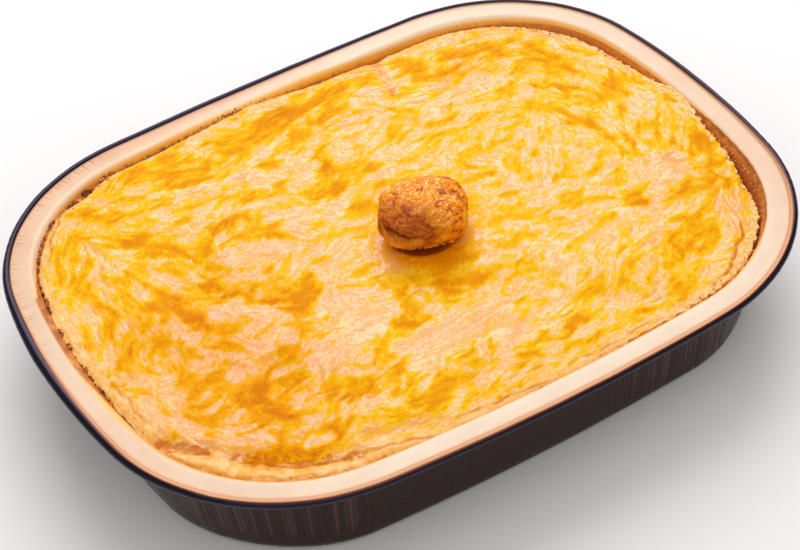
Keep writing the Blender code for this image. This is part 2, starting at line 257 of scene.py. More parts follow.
# The ball's side away from the window, darkened with painted shade: its way, how sharply the shade
# ends and how far short of halfway round it stops.
BALL_SHADED_SIDE_WAY = (-0.80, -0.46, 0.25)
BALL_SHADED_SIDE_SHARPNESS = 1.3
BALL_SHADED_SIDE_SHORT = 0.25

# ---------------------------------------------------------------- the crust's edge and rim

# How finely the visible crust is cut, and how ragged its edge is.
PIE_COLUMNS = 324
PIE_ROWS = 254
PIE_CROWDING = 0.5
EDGE_RAGGED = 0.00034
EDGE_RAGGED_WAVES = (0.0040, 0.0200)
EDGE_TORN = 0.00022
EDGE_TORN_WAVES = (0.0022, 0.0080)
EDGE_RAGGED_ROWS = 6
EDGE_LEAST_RAGGED = 0.3
EDGE_SEED = 21

# Width of the dry, unwashed rim by bearing in degrees, in mm.
RIM_WIDTHS = (
    (-180, 4.5), (-165, 5.0), (-150, 9.0), (-130, 9.5), (-112, 6.0), (-90, 4.5), (-60, 5.0),
    (-45, 6.0), (-36, 5.0), (-26, 2.6), (-10, 2.4), (0, 3.0), (30, 3.4), (45, 4.2), (62, 4.0),
    (85, 2.2), (120, 2.4), (145, 4.5), (165, 4.5), (180, 4.5),
)
# How torn the edge is by bearing, from 0 to 1.
TORN_PLACES = (
    (-180, 0.35), (-150, 0.1), (-120, 0.15), (-90, 0.5), (-50, 0.7), (-30, 1.0), (10, 1.0),
    (45, 0.9), (70, 0.3), (110, 0.25), (140, 0.4), (180, 0.35),
)
CRUMBLE_HEIGHT = 0.00012
LEAST_CRUMBLE = 0.2
# Noises over the rim: shortest and longest wavelength, and how much weaker the short ones are.
RIM_LIMIT_WAVES = (0.0025, 0.012, 0.8)
CRUMBLE_WAVES = (0.0020, 0.007, 0.4)
CRACK_BREAK_WAVES = (0.003, 0.012, 0.5)
CRACK_WANDER_WAVES = (0.008, 0.030, 1.0)
RIM_LIMIT_WANDER = 0.0014
# The share of the rim's width that is dry all through, before it fades into the washed crust.
RIM_SOLID_SHARE = 0.35
RIM_SMOOTHING = 0.8
# How deep the gap beside the crust is by bearing, as a factor of GAP_STEPS.
GAP_DEPTHS = (
    (-180, 0.7), (-166, 0.6), (-156, 0.2), (-118, 0.2), (-100, 0.5), (-55, 0.7), (-32, 1.8), (20, 1.6),
    (45, 1.2), (70, 0.9), (126, 0.7), (130, 0.35), (139, 0.3), (144, 0.7), (180, 0.7),
)
# Steps down the gap: drop below the crust's edge, and how open the gap still is there.
GAP_STEPS = ((0.0058, 0.0), (0.0040, 0.12), (0.0028, 0.5), (0.0016, 0.9), (0.0007, 1.0))
GAP_ROUGHNESS = 0.00012
GAP_ROUGHNESS_WAVES = (0.0014, 0.006)
# The side is fully dark from this many rings below the crust's edge.
DARK_SIDE_RINGS = 3
RIM_ROUNDING = 0.0007
RIM_ROUNDING_REACH = 0.0007
# Cracks and open folds along the rim: first and last bearing, how far inside the edge they lie at
# each in mm, then in mm how deep they are, how much higher the crust stands on their inner side
# and their half width, and how broken up they are from 0 to 1.
RIM_CRACKS = (
    (-162, -118, 0.5, 0.9, 0.24, 0.0, 1.0, 0.5), (-158, -150, 0.2, 9.0, 0.28, 0.6, 0.8, 0.3),
    (-147, -126, 8.6, 6.0, 0.30, 0.7, 0.7, 0.3), (-128, -113, 6.0, 1.4, 0.25, 0.4, 0.6, 0.5),
    (-112, -86, 4.5, 1.2, 0.30, 0.2, 0.5, 0.8), (-84, -58, 3.2, 3.0, 0.25, 0.1, 0.4, 0.9),
    (-52, -33, 2.6, 7.0, 0.50, 0.0, 0.5, 0.6), (-33, -14, 6.2, 4.6, 0.15, 0.0, 0.4, 0.8),
    (28, 44, 4.0, 4.4, 0.25, 0.0, 0.4, 0.8), (139, 154, 1.8, 3.4, 0.40, 0.2, 0.4, 0.3),
    (-178, -160, 4.4, 3.6, 0.25, 0.0, 0.4, 0.8),
)
CRACK_WANDER = 0.0007
CRACK_RUN_IN = 0.15
CRACK_BREAK_BELOW = 0.3
LIP_REACH = 0.0040
# A crack this deep, in mm, takes the full painted shade of a crack.
DARK_CRACK = 0.35

# ---------------------------------------------------------------- loose crumbs

# First and last bearing, how many, where they lie, half size in mm from and to, shade from and to,
# where 0 is burnt, 0.5 brown and 1 cream.
CRUMB_PLACES = (
    (98, 131, 150, "ledge", 0.22, 0.55, 0.25, 0.8), (142, 154, 44, "ledge", 0.35, 0.90, 0.15, 0.7),
    (62, 98, 50, "ledge", 0.15, 0.34, 0.2, 0.8), (154, 190, 46, "ledge", 0.40, 0.95, 0.15, 0.6),
    (132.2, 134.4, 12, "gap", 0.80, 1.50, 0.0, 0.3), (136.2, 137.8, 10, "gap", 0.80, 1.40, 0.0, 0.35),
    (126, 143, 40, "gap", 0.30, 0.70, 0.2, 0.8), (128, 156, 20, "rim", 0.20, 0.45, 0.4, 1.0),
    (150, 192, 110, "gap", 0.50, 1.05, 0.0, 0.4), (165, 192, 48, "gap", 0.80, 1.35, 0.0, 0.3),
    (194, 222, 40, "gap", 0.25, 0.60, 0.5, 1.0), (195, 240, 30, "rim", 0.20, 0.40, 0.75, 1.0),
    (60, 116, 60, "gap", 0.25, 0.60, 0.15, 0.8), (30, 60, 44, "gap", 0.25, 0.60, 0.1, 0.9),
    (-36, -8, 150, "wall", 0.25, 0.60, 0.35, 0.9), (-40, 0, 80, "gap", 0.35, 0.80, 0.3, 0.9),
    (-58, -34, 24, "rim", 0.20, 0.40, 0.6, 1.0), (-30, 40, 30, "rim", 0.20, 0.45, 0.5, 1.0),
)
CRUMB_DETAIL = 2
CRUMB_JITTER = 0.22
CRUMB_STRETCH = (0.6, 1.15)
CRUMB_SINK = 0.5
CRUMB_GAP_PLACES = (0.15, 0.9)
CRUMB_WALL_DROPS = (0.0034, 0.0070)
CRUMB_RIM_REACH = 0.0018
CRUMB_LEDGE_RISE = 0.0013
CRUMB_SEED = 17

# ---------------------------------------------------------------- the egg wash

# Strokes of the brush: place of the middle in mm, bearing in degrees, length and width
# in mm, then how much wash it left. Above 0 the wash pools, below 0 pale dough shows.
WASH_STROKES = (
    # along the far side
    (-62, 92, 0, 34, 12, 0.9), (-54, 79, 10, 24, 9, 1.0), (-18, 89, 0, 44, 13, 1.0),
    (15, 90, 0, 40, 12, 1.0), (6, 77, 4, 26, 6, 0.8), (58, 86, -75, 20, 12, 1.0),
    (66, 72, -10, 14, 7, 0.6), (84, 78, -20, 24, 9, 0.9), (107, 55, -85, 26, 10, 1.0),
    (94, 66, -60, 16, 4, 0.7), (98, 34, -35, 18, 4, 1.1), (104, 24, -80, 14, 6, 0.8),
    (114, 16, 80, 20, 7, 0.8), (121, 24, 60, 14, 4, 0.6), (-20, 100, 0, 60, 6, -0.3),
    (70, 96, -10, 36, 7, -0.8), (36, 78, -4, 24, 8, -0.7), (118, 66, -50, 30, 8, -0.6),
    (46, 88, 74, 20, 3, -1.1), (42, 66, 0, 20, 6, 0.3),
    # far middle
    (60, 58, 0, 36, 12, -0.9), (20, 64, 5, 30, 9, -0.8), (-45, 66, 0, 40, 9, -0.9),
    (-14, 58, 80, 18, 9, -0.8), (3, 52, 85, 16, 8, -0.6), (-6, 52, 84, 18, 3.5, 1.0),
    (-3, 36, -4, 34, 7, 0.9), (-43, 27, -80, 24, 7, 0.8), (-44, 44, 20, 16, 8, 0.45),
    (-60, 37, 32, 24, 5, 0.9), (-74, 27, -70, 24, 5, 0.8), (-60, 48, 10, 18, 5, -0.8),
    (-30, 60, -10, 20, 8, -0.6), (-52, 14, 10, 30, 9, -0.7), (-28, 26, -20, 30, 10, -0.8),
    (-62, 22, -60, 16, 5, -0.8),
    # left end
    (-97, 58, -60, 22, 7, 0.8), (-86, 48, -60, 20, 8, 0.9), (-90, 74, -30, 22, 5, 0.7),
    (-118, 60, 70, 36, 16, 0.45), (-68, 55, 75, 14, 5, 0.7), (-92, 6, -62, 32, 14, 0.95),
    (-76, 8, -48, 24, 7, 0.9), (-113, 6, 80, 44, 16, 0.3), (-118, 40, 75, 20, 8, 0.3),
    (-128, -30, -82, 40, 9, -0.5), (-113, -62, -50, 24, 9, -0.8), (-104, -66, -60, 20, 6, -0.5),
    # near left
    (-85, -22, -80, 20, 8, 0.8), (-100, -38, 5, 18, 10, 0.8), (-82, -46, 24, 38, 7, 1.0),
    (-91, -58, -70, 20, 11, 1.25), (-66, -60, -40, 28, 7, 0.95), (-53, -18, 55, 28, 11, 1.0),
    (-63, -4, -36, 32, 4.5, 0.95), (-72, -12, -38, 34, 8, -1.0), (-77, -31, -8, 26, 12, -0.95),
    (-36, -32, -60, 28, 14, -1.15), (-52, -47, 28, 32, 9, -0.9), (-30, -2, 20, 32, 9, -0.6),
    (-34, -44, 35, 14, 5, -0.6),
    # near side
    (-15, -62, 8, 46, 14, -0.8), (-36, -56, 36, 26, 4, 0.8), (-48, -69, 12, 36, 3.5, 0.95),
    (-62, -76, 22, 28, 3, 0.8), (-30, -84, 8, 30, 9, 0.95), (-90, -79, -6, 36, 7, 0.85),
    (-95, -85, -36, 32, 5, 1.4), (2, -32, -80, 30, 18, 1.1), (-21, -40, 58, 22, 4, 0.7),
    (-14, -48, 0, 34, 4, 0.7), (31, -78, 40, 26, 5, 0.85), (14, -86, 8, 32, 4, 0.7),
    (71, -84, 70, 14, 9, 0.5), (45, -76, 70, 18, 10, 0.4), (0, -78, 4, 50, 8, -0.5),
    (60, -62, 20, 40, 10, -0.1), (33, -51, 90, 6, 5, 1.2),
    # right end
    (89, -74, -70, 19, 15, 1.05), (123, -36, 76, 28, 9, 1.05), (121, -52, 80, 13, 6, 1.0),
    (84, -42, -40, 14, 6, 0.7), (104, -47, -8, 24, 5, 0.8), (66, 2, 72, 36, 3.5, -0.95),
    (73, 6, 76, 34, 3, -0.9), (80, 4, 80, 30, 3, -0.8), (70, 0, 74, 30, 2.5, 0.6),
    (92, 12, -70, 26, 7, 0.8), (99, -4, -85, 28, 4, 0.9), (106, -34, 20, 24, 14, -0.9),
    (100, -22, 60, 26, 4, -0.8), (112, -12, 40, 24, 5, 0.7), (119, 6, 80, 16, 8, -0.7),
    (134, -4, -82, 28, 5, 0.9), (130, 22, -80, 26, 6, 0.5), (114, -68, 58, 24, 6, -0.6),
    (48, -15, 0, 64, 44, 0.05), (50, -52, 12, 84, 46, -0.22), (-58, -55, 10, 56, 40, -0.2),
    (12, 32, 0, 34, 24, -0.2), (10, 70, 0, 170, 26, 0.12),
)
WASH_CELL = 0.0004
WASH_HALF_LENGTH = 0.1440
WASH_HALF_WIDTH = 0.1130
WASH_SEED = 7
WASH_BASE_BEARING = math.radians(12)
WASH_BASE_PULL = 0.05
WASH_LEVEL = 0.14
WASH_POOL_DEPTH = 0.00022
WASH_RIDGE = 0.00017

# How far a stroke turns the brush's way round it, and how far its bristle marks run on, both in
# half widths. A stroke this many times longer than wide turns it the most.
STROKE_TURN_REACH = 2.0
STROKE_RUN_REACH = 1.3
SLENDER_STROKE = 4
STROKE_EDGE_SHARPNESS = 0.7
STROKE_TONES = (-0.85, 1.5)
POOL_TONES = (-0.5, 1.2)
STROKE_SHARE = 0.95

# Noises of the egg wash: shortest and longest wavelength, and how much weaker the short ones are.
BRUSH_TURN_WAVES = (0.010, 0.050, 1.0)
WIDE_MARK_WAVES = (0.0036, 0.016, 1.0)
THIN_MARK_WAVES = (0.0012, 0.006, 0.8)
LINE_WAVES = (0.0050, 0.016, 0.8)
STROKE_EDGE_WAVES = (0.006, 0.02, 1.0)
SPECK_WAVES = (0.0007, 0.003, 0.3)
RICH_WAVES = (0.006, 0.025, 1.0)

# How far the brush's way wanders, how far it draws the marks out, and how the strokes' edges stray.
BRUSH_TURN = 0.40
WIDE_MARK_DRAW = 0.0048
THIN_MARK_DRAW = 0.0034
BRUSH_STRIDE = 1.5 * WASH_CELL
LINE_HALF_WIDTH = 0.16
LINE_STRAY = 0.25
STROKE_EDGE_STRAY = 0.0018
STROKE_EDGE_FRINGE = 0.0009

# How much of each mark shows in the wash, and in the relief that the brush left.
WIDE_MARK_SHARE = 0.36
THIN_MARK_SHARE = 0.22
LINE_SHARE = 0.45
SPECK_SHARE = 0.12
MARKS_LOST_IN_STROKES = 0.25
THIN_RIDGE_SHARE = 0.55

# Where the crust is well baked: place and reach in mm, and how much.
RICH_PLACES = (
    (-98, -18, 42, 0.9), (-92, -66, 34, 0.9), (-50, 30, 30, 0.3), (-70, -20, 24, 0.3),
    (30, 84, 30, 0.3), (112, -58, 28, 0.4), (86, 74, 24, 0.5), (-20, -80, 26, 0.3), (6, -38, 20, 0.4),
)
RICH_NOISE = 0.22

# ---------------------------------------------------------------- the view

CAMERA_TARGET = (-0.01474, -0.02689, FLANGE_HEIGHT)
CAMERA_AZIMUTH = math.radians(-26.69)
CAMERA_ELEVATION = math.radians(42.29)
CAMERA_ROLL = math.radians(-6.24)
CAMERA_DISTANCE = 0.7602
CAMERA_LENS = 89.83
FLOOR_HALF_SIZE = 3.0


# ---------------------------------------------------------------- outline


def outline_arcs():
    """The eight arcs of the outline, anticlockwise from the +X end, as rows of
    centre x, centre y, radius at zero inset, first angle, last angle."""
    core_x = FLANGE_HALF_LENGTH - CORNER_RADIUS - END_BOW
    core_y = FLANGE_HALF_WIDTH - CORNER_RADIUS - SIDE_BOW
    end_radius = (core_y**2 + END_BOW**2) / (2 * END_BOW)
    side_radius = (core_x**2 + SIDE_BOW**2) / (2 * SIDE_BOW)
    end_turn = math.asin(core_y / end_radius)
    side_turn = math.asin(core_x / side_radius)
    arcs = []
    for quarter in range(4):
        facing = quarter * QUARTER
        along_x = quarter % 2 == 0
        turn, next_turn = (end_turn, side_turn) if along_x else (side_turn, end_turn)
        radius = end_radius if along_x else side_radius
        reach = (core_x + END_BOW if along_x else core_y + SIDE_BOW) - radius
        centre = (reach * math.cos(facing), reach * math.sin(facing))
        arcs.append((*centre, radius + CORNER_RADIUS, facing - turn, facing + turn))
        corner = facing + QUARTER / 2
        centre = (math.copysign(core_x, math.cos(corner)), math.copysign(core_y, math.sin(corner)))
        arcs.append((*centre, CORNER_RADIUS, facing + turn, facing + QUARTER - next_turn))
    return np.array(arcs)


ARCS = outline_arcs()
ARC_LENGTHS = ARCS[:, 2] * (ARCS[:, 4] - ARCS[:, 3])
ARC_STARTS = np.concatenate(([0.0], np.cumsum(ARC_LENGTHS)))
OUTLINE_LENGTH = ARC_STARTS[-1]
OUTLINE_SAMPLES = 4000
RIPPLE_WAVES = 60


def outline_place(distance):
    """The arc and the facing angle at distances along the outline."""
    distance = np.mod(distance, OUTLINE_LENGTH)
    arc = np.clip(np.searchsorted(ARC_STARTS, distance, side="right") - 1, 0, len(ARCS) - 1)
    share = (distance - ARC_STARTS[arc]) / ARC_LENGTHS[arc]
    return arc, ARCS[arc, 3] + (ARCS[arc, 4] - ARCS[arc, 3]) * share


def outline_point(distance, inset):
    """Points of parallel curves, on the outline's normals at these distances."""
    arc, facing = outline_place(distance)
    reach = ARCS[arc, 2] - inset
    return ARCS[arc, 0] + reach * np.cos(facing), ARCS[arc, 1] + reach * np.sin(facing)


def depth_inside(x, y):
    """How far points lie inside the flange's outer edge."""
    core_x = FLANGE_HALF_LENGTH - CORNER_RADIUS
    core_y = FLANGE_HALF_WIDTH - CORNER_RADIUS
    over_x = np.abs(x) + END_BOW * np.minimum(np.abs(y) / core_y, 1) ** 2 - core_x
    over_y = np.abs(y) + SIDE_BOW * np.minimum(np.abs(x) / core_x, 1) ** 2 - core_y
    outside = np.hypot(np.maximum(over_x, 0), np.maximum(over_y, 0))
    return CORNER_RADIUS - outside - np.minimum(np.maximum(over_x, over_y), 0)


def bent(x, y, z):
    """Points after the rim's bend, which grows from nothing at the base."""
    lift = RIM_TWIST * x * y + RIM_END_RISE * x**2 + RIM_SIDE_RISE * y**2 - RIM_LEVEL_DROP
    return np.stack([x, y, z + lift * z / FLANGE_HEIGHT], -1)


def corner_tuck(facing, height):
    """How much further in the rounded corners stand towards the base."""
    return CORNER_TUCK * np.sin(2 * facing) ** 2 * np.maximum(0, 1 - height / FLANGE_HEIGHT)


def rippled(rng, distances, shortest, longest):
    """Seeded noise round the outline, of mean 0 and spread 1, between two wavelengths."""
    first = max(int(OUTLINE_LENGTH / longest), 1)
    last = int(OUTLINE_LENGTH / shortest)
    turns = rng.integers(first, last, RIPPLE_WAVES)
    phases = rng.uniform(0, 2 * math.pi, RIPPLE_WAVES)
    lap = 2 * math.pi * distances / OUTLINE_LENGTH
    return np.sin(lap[:, None] * turns + phases).sum(1) / math.sqrt(RIPPLE_WAVES / 2)


# ---------------------------------------------------------------- meshes


def ring_quads(rings, stations, outwards):
    """Quads between neighbouring closed rings, facing outwards or inwards going up."""
    ring, station = np.meshgrid(np.arange(rings - 1), np.arange(stations), indexing="ij")
    here = ring * stations + station
    beside = ring * stations + (station + 1) % stations
    order = (here, beside, beside + stations, here + stations)
    if not outwards:
        order = order[::-1]
    return np.stack(order, -1).reshape(-1, 4)


def add_piece(name, points, faces, body="root"):
    """A mesh object that rides on the body, smooth all over."""
    mesh = bpy.data.meshes.new(name)
    mesh.from_pydata(points.tolist(), [], faces)
    mesh.validate()
    mesh.shade_smooth()
    piece = bpy.data.objects.new(name, mesh)
    bpy.context.scene.collection.objects.link(piece)
    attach(piece, body)
    return piece


def by_bearing(x, y, places):
    """A value given at a few bearings, at these points."""
    bearings, values = zip(*places)
    return np.interp(np.degrees(np.arctan2(y, x)), bearings, values)


def smooth_step(value):
    """A soft step from 0 to 1 where the value goes from 0 to 1."""
    value = np.clip(value, 0, 1)
    return value * value * (3 - 2 * value)


def at_least(least, share):
    """A share from 0 to 1 squeezed to go from its least value to 1."""
    return least + (1 - least) * share


def store(piece, name, values):
    """Keeps one number for each point, which the materials read."""
    attribute = piece.data.attributes.new(name, "FLOAT", "POINT")
    attribute.data.foreach_set("value", np.array(values, dtype=np.float32).ravel())


def between(start, end, steps):
    """Evenly spaced places after start and up to end."""
    shares = np.arange(1, steps + 1)[:, None] / steps
    return np.array(start) + (np.array(end) - np.array(start)) * shares


def arc_points(centre, radius, first, last, steps):
    """Points along an arc in the section plane, as rows of inset and height."""
    angles = np.linspace(first, last, steps + 1)
    return np.stack([centre[0] + radius * np.cos(angles), centre[1] + radius * np.sin(angles)], -1)


# ---------------------------------------------------------------- foil tray

WALL_LEAN = math.atan2(WALL_FOOT_INSET - WALL_TOP_INSET, FLANGE_HEIGHT)
SHOULDER_HEIGHT = FLANGE_HEIGHT - FOIL / 2 - SHOULDER_RADIUS


def foot_arc(offset, steps):
    """Round between the base and the wall, moved by offset towards the food."""
    radius = FOOT_RADIUS - offset
    slant = FOOT_RADIUS / math.tan((QUARTER + WALL_LEAN) / 2)
    centre = (WALL_FOOT_INSET + slant, FOIL / 2 + offset + radius)
    return arc_points(centre, radius, -QUARTER, -math.pi + WALL_LEAN, steps)


def shoulder_arc(offset, steps):
    """Round between the wall and the flange."""
    centre = (SHOULDER_START, SHOULDER_HEIGHT)
    return arc_points(centre, SHOULDER_RADIUS + offset, WALL_LEAN, QUARTER, steps)


def foil_section(offset, steps):
    """The foil from the base to the flange's outer edge; steps for foot, wall, shoulder and flange."""
    foot = foot_arc(offset, steps[0])
    shoulder = shoulder_arc(offset, steps[2])
    wall = between(foot[-1], shoulder[0], steps[1])[:-1]
    edge = (FLANGE_EDGE_INSET, FLANGE_HEIGHT - FOIL / 2 + offset)
    return np.concatenate([foot, wall, shoulder, between(shoulder[-1], edge, steps[3])])


def wall_inset(offset, height):
    """Inset of the straight part of the wall at this height."""
    foot_inset, foot_height = foot_arc(offset, 3)[-1]
    top_inset, top_height = shoulder_arc(offset, 3)[0]
    share = (height - foot_height) / (top_height - foot_height)
    return foot_inset + (top_inset - foot_inset) * share


def food_side_inset(height):
    """Inset of the nearest place to the tray that food can reach at these heights."""
    clear = FOIL / 2 + CLEARANCE
    above = height - SHOULDER_HEIGHT
    round_part = np.sqrt(np.maximum((SHOULDER_RADIUS + clear) ** 2 - above**2, 0))
    return np.where(above <= 0, wall_inset(clear, height), SHOULDER_START + round_part)


def crimp_places(rng):
    """Distances of the folds round the four corners, how deep each flute of the wall is and how
    deep each crimp of the flange is, from 0 to 1."""
    places, flutes, crimps = [], [], []
    for corner, depth in CORNER_CRIMPS.items():
        before = LONG_FOLD_RUN if corner == NEAR_RIGHT else CRIMP_RUN_OUT
        after = LONG_FOLD_RUN if corner == FAR_LEFT else CRIMP_RUN_OUT
        first, last = ARC_STARTS[corner] - before, ARC_STARTS[corner + 1] + after
        run = np.arange(first, last, CRIMP_SPACING)
        run = run + rng.uniform(-CRIMP_JITTER, CRIMP_JITTER, len(run)) * CRIMP_SPACING
        fade = np.minimum(run - first, last - run) / (2 * CRIMP_RUN_OUT)
        flute_fade = np.clip(fade, FLUTE_LEAST_FADE, 1)
        crimp_fade = np.clip(fade - CRIMP_LATE_FADE, 0, 1)
        places.append(run)
        flutes.append(flute_fade * rng.uniform(*FLUTE_UNEVENNESS, len(run)))
        crimps.append(crimp_fade * rng.uniform(*CRIMP_UNEVENNESS, len(run)) * depth)
    return np.concatenate(places), np.concatenate(flutes), np.concatenate(crimps)


def tray_stations(places):
    """Distances of the tray's stations: close together at each crimp, wide apart elsewhere."""
    fine = (places[:, None] + np.array(CRIMP_STATIONS)).ravel() % OUTLINE_LENGTH
    plain = np.arange(0, OUTLINE_LENGTH, PLAIN_STATION)
    gap = np.abs(plain[:, None] - fine).min(1)
    stations = np.sort(np.concatenate([fine, plain[gap > CRIMP_SPACING / 2]]))
    return stations[np.diff(np.append(stations, stations[0] + OUTLINE_LENGTH)) > CRIMP_HALF_WIDTH / 4]


def crimp_profile(stations, places, strengths, half_width):
    """How deep the crimps are at each station, from 0 to 1."""
    away = np.abs(stations[:, None] - places)
    away = np.minimum(away, OUTLINE_LENGTH - away)
    return (strengths * np.exp(-((away / half_width) ** 2))).max(1)


def tray_section():
    """The tray's whole section as rows of inset and height, and which rows are inside and bead."""
    inside = foil_section(FOIL / 2, INSIDE_STEPS)
    bead_centre = (BEAD_CENTRE_INSET, FLANGE_HEIGHT - BEAD_CENTRE_DROP)
    bead = arc_points(bead_centre, BEAD_RADIUS, BEAD_FIRST_ANGLE, BEAD_LAST_ANGLE, BEAD_STEPS)
    outside = foil_section(-FOIL / 2, OUTSIDE_STEPS)[::-1]
    row = np.arange(len(inside) + len(bead) + len(outside))[:, None]
    is_inside = row < len(inside)
    is_bead = ~is_inside & (row < len(inside) + len(bead))
    return np.concatenate([inside, bead, outside]), is_inside, is_bead


def press_shares(inset, height, is_inside, is_bead):
    """How much of the crimps and how much of the flutes each row of the section takes."""
    on_flange = is_inside & (inset < SHOULDER_START) & (height > SHOULDER_HEIGHT)
    outwards = (CRIMP_FROM_INSET - inset) / (CRIMP_FROM_INSET - CRIMP_FULL_INSET)
    crimp_share = np.where(on_flange, np.clip(outwards, 0, 1), 0)
    up = np.clip(height / FLANGE_HEIGHT, 0, 1)
    flute_share = np.where(~is_bead & ~on_flange, np.minimum(up / FLUTE_FOOT_SHARE, 1), 0)
    flute_share *= np.clip((SHOULDER_HEIGHT - height) / SHOULDER_RADIUS + 1, 0, 1)
    return crimp_share, flute_share


def tray_faces(rows, stations, gold_rows):
    """Faces of the tray's skin and of its base, and the lacquer of each: 0 gold, 1 black."""
    quads = ring_quads(rows, stations, outwards=False)
    food_base = np.arange(stations)
    under_base = food_base[::-1] + (rows - 1) * stations
    slots = np.ones(len(quads) + 2, np.int32)
    slots[: (gold_rows - 1) * stations] = 0
    slots[-2:] = (0, 1)
    return quads.tolist() + [food_base.tolist(), under_base.tolist()], slots


def store_tray_looks(tray, x, y, section_inset, section_height, is_bead):
    """Keeps what the lacquers read: place in the section, baked juices and the wall's painted
    reflection, tan and the edge's painted reflection by bearing, and gilt.
    """
    drop = FLANGE_HEIGHT - section_height
    store(tray, "inset", np.broadcast_to(section_inset, x.shape))
    store(tray, "drop", np.broadcast_to(drop, x.shape))
    # Where the wall's amber starts: baked juices with a painted reflection of the crust.
    store(tray, "stain_and_reflection", drop - by_bearing(x, y, CLEAR_DROPS) * MM)
    store(tray, "baked", by_bearing(x, y, BAKED_PLACES))
    # The outer edge takes a painted reflection where it curls down into the bead.
    curl_reflection_reach = by_bearing(x, y, EDGE_CURL_REFLECTION_REACHES) * MM
    edge_curl_reflection = by_bearing(x, y, EDGE_CURL_REFLECTIONS) * (1 - smooth_step(section_inset / curl_reflection_reach))
    store(tray, "tan_and_curl_reflection", np.clip(by_bearing(x, y, FLANGE_TANS) + edge_curl_reflection, 0, 1))
    turned = np.zeros_like(section_inset)
    turned[is_bead] = np.degrees(np.linspace(BEAD_FIRST_ANGLE, BEAD_LAST_ANGLE, BEAD_STEPS + 1))
    short = by_bearing(x, y, BEAD_GOLD_ENDS) - turned
    store(tray, "gilt", smooth_step(0.5 + short / BEAD_GOLD_FADE) * is_bead)


def build_tray():
    """Food side, rolled bead, outside and underside as one closed skin of rings."""
    rng = np.random.default_rng(TRAY_SEED)
    places, flutes, crimps = crimp_places(rng)
    stations = tray_stations(places)
    section, is_inside, is_bead = tray_section()
    section_inset, section_height = section[:, :1], section[:, 1:]
    slope = np.gradient(section, axis=0)
    normal = np.stack([slope[:, 1], -slope[:, 0]], -1)
    normal /= np.linalg.norm(normal, axis=1, keepdims=True)

    crimp = crimp_profile(stations, places, crimps, CRIMP_HALF_WIDTH)
    flute = crimp_profile(stations, places, flutes, CRIMP_SPACING / 3)
    crimp_share, flute_share = press_shares(section_inset, section_height, is_inside, is_bead)
    bead_wobble = BEAD_WOBBLE * rippled(rng, stations, *BEAD_WOBBLE_WAVES)
    flange_wobble = FLANGE_WOBBLE * rippled(rng, stations, *FLANGE_WOBBLE_WAVES)
    push = -CRIMP_DEPTH * crimp * crimp_share
    push = push + FLUTE_DEPTH * flute * (flute_share * np.where(is_inside, 1, -1))
    push = push + bead_wobble * is_bead

    _, facing = outline_place(stations)
    up = np.clip(section_height / FLANGE_HEIGHT, 0, 1)
    inset = section_inset + normal[:, :1] * push + corner_tuck(facing, section_height)
    height = section_height + normal[:, 1:] * push + flange_wobble * up**3
    growth = by_bearing(*outline_point(stations, 0.0), BEAD_GROWTHS)
    inset += is_bead * (growth - 1) * (section_inset - FLANGE_EDGE_INSET)
    height += is_bead * (np.sqrt(growth) - 1) * (section_height - FLANGE_HEIGHT)
    x, y = outline_point(stations, inset)

    gold_rows = np.count_nonzero(is_inside) + BEAD_GOLD_STEPS
    faces, slots = tray_faces(len(section), len(stations), gold_rows)
    tray = add_piece("foil_tray_skin", bent(x, y, height).reshape(-1, 3), faces)
    tray.data.polygons.foreach_set("material_index", slots)
    store(tray, "crimp", crimp * crimp_share + flute * flute_share)
    store_tray_looks(tray, x, y, section_inset, section_height, is_bead)
    tray.data.materials.append(gold_lacquer())
    tray.data.materials.append(black_lacquer())
    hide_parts("foil_tray")
    return tray


# ---------------------------------------------------------------- egg wash pattern

WASH_X, WASH_Y = np.meshgrid(
    np.arange(-WASH_HALF_LENGTH, WASH_HALF_LENGTH, WASH_CELL),
    np.arange(-WASH_HALF_WIDTH, WASH_HALF_WIDTH, WASH_CELL),
)


def sampled(field, x, y):
    """Values of a field between its cells."""
    rows, columns = field.shape
    u = np.clip((x + WASH_HALF_LENGTH) / WASH_CELL, 0, columns - 1.001)
    v = np.clip((y + WASH_HALF_WIDTH) / WASH_CELL, 0, rows - 1.001)
    i, j = u.astype(int), v.astype(int)
    a, b = u - i, v - j
    low = field[j, i] * (1 - a) + field[j, i + 1] * a
    high = field[j + 1, i] * (1 - a) + field[j + 1, i + 1] * a
    return low * (1 - b) + high * b


def nearest(field, x, y):
    """Values of a field at the nearest cells."""
    rows, columns = field.shape
    i = np.clip(((x + WASH_HALF_LENGTH) / WASH_CELL + 0.5).astype(np.int32), 0, columns - 1)
    j = np.clip(((y + WASH_HALF_WIDTH) / WASH_CELL + 0.5).astype(np.int32), 0, rows - 1)
    return field[j, i]


def field_noise(rng, shortest, longest, slope):
    """Seeded noise over the crust, of mean 0 and spread 1, between two wavelengths."""
    rows, columns = WASH_X.shape
    rate = np.hypot(np.fft.rfftfreq(columns, WASH_CELL), np.fft.fftfreq(rows, WASH_CELL)[:, None])
    rate[0, 0] = 1 / longest
    size = rate**-slope * np.exp(-((rate * shortest) ** 2)) * (1 - np.exp(-((rate * longest) ** 2)))
    waves = size * (rng.normal(size=size.shape) + 1j * rng.normal(size=size.shape))
    waves[0, 0] = 0
    field = np.fft.irfft2(waves, s=(rows, columns))
    return field / field.std()


def brushed(field, way_x, way_y, reach):
    """A field drawn out along the brush's way, which turns from place to place."""
    total = field.copy()
    for sign in (1, -1):
        x, y = WASH_X.copy(), WASH_Y.copy()
        last_x, last_y = sign * way_x, sign * way_y
        for _ in range(int(reach / BRUSH_STRIDE)):
            next_x, next_y = nearest(way_x, x, y), nearest(way_y, x, y)
            flip = np.where(next_x * last_x + next_y * last_y < 0, -1.0, 1.0)
            last_x, last_y = next_x * flip, next_y * flip
            x += last_x * BRUSH_STRIDE
            y += last_y * BRUSH_STRIDE
            total += nearest(field, x, y)
    total -= total.mean()
    return total / total.std()


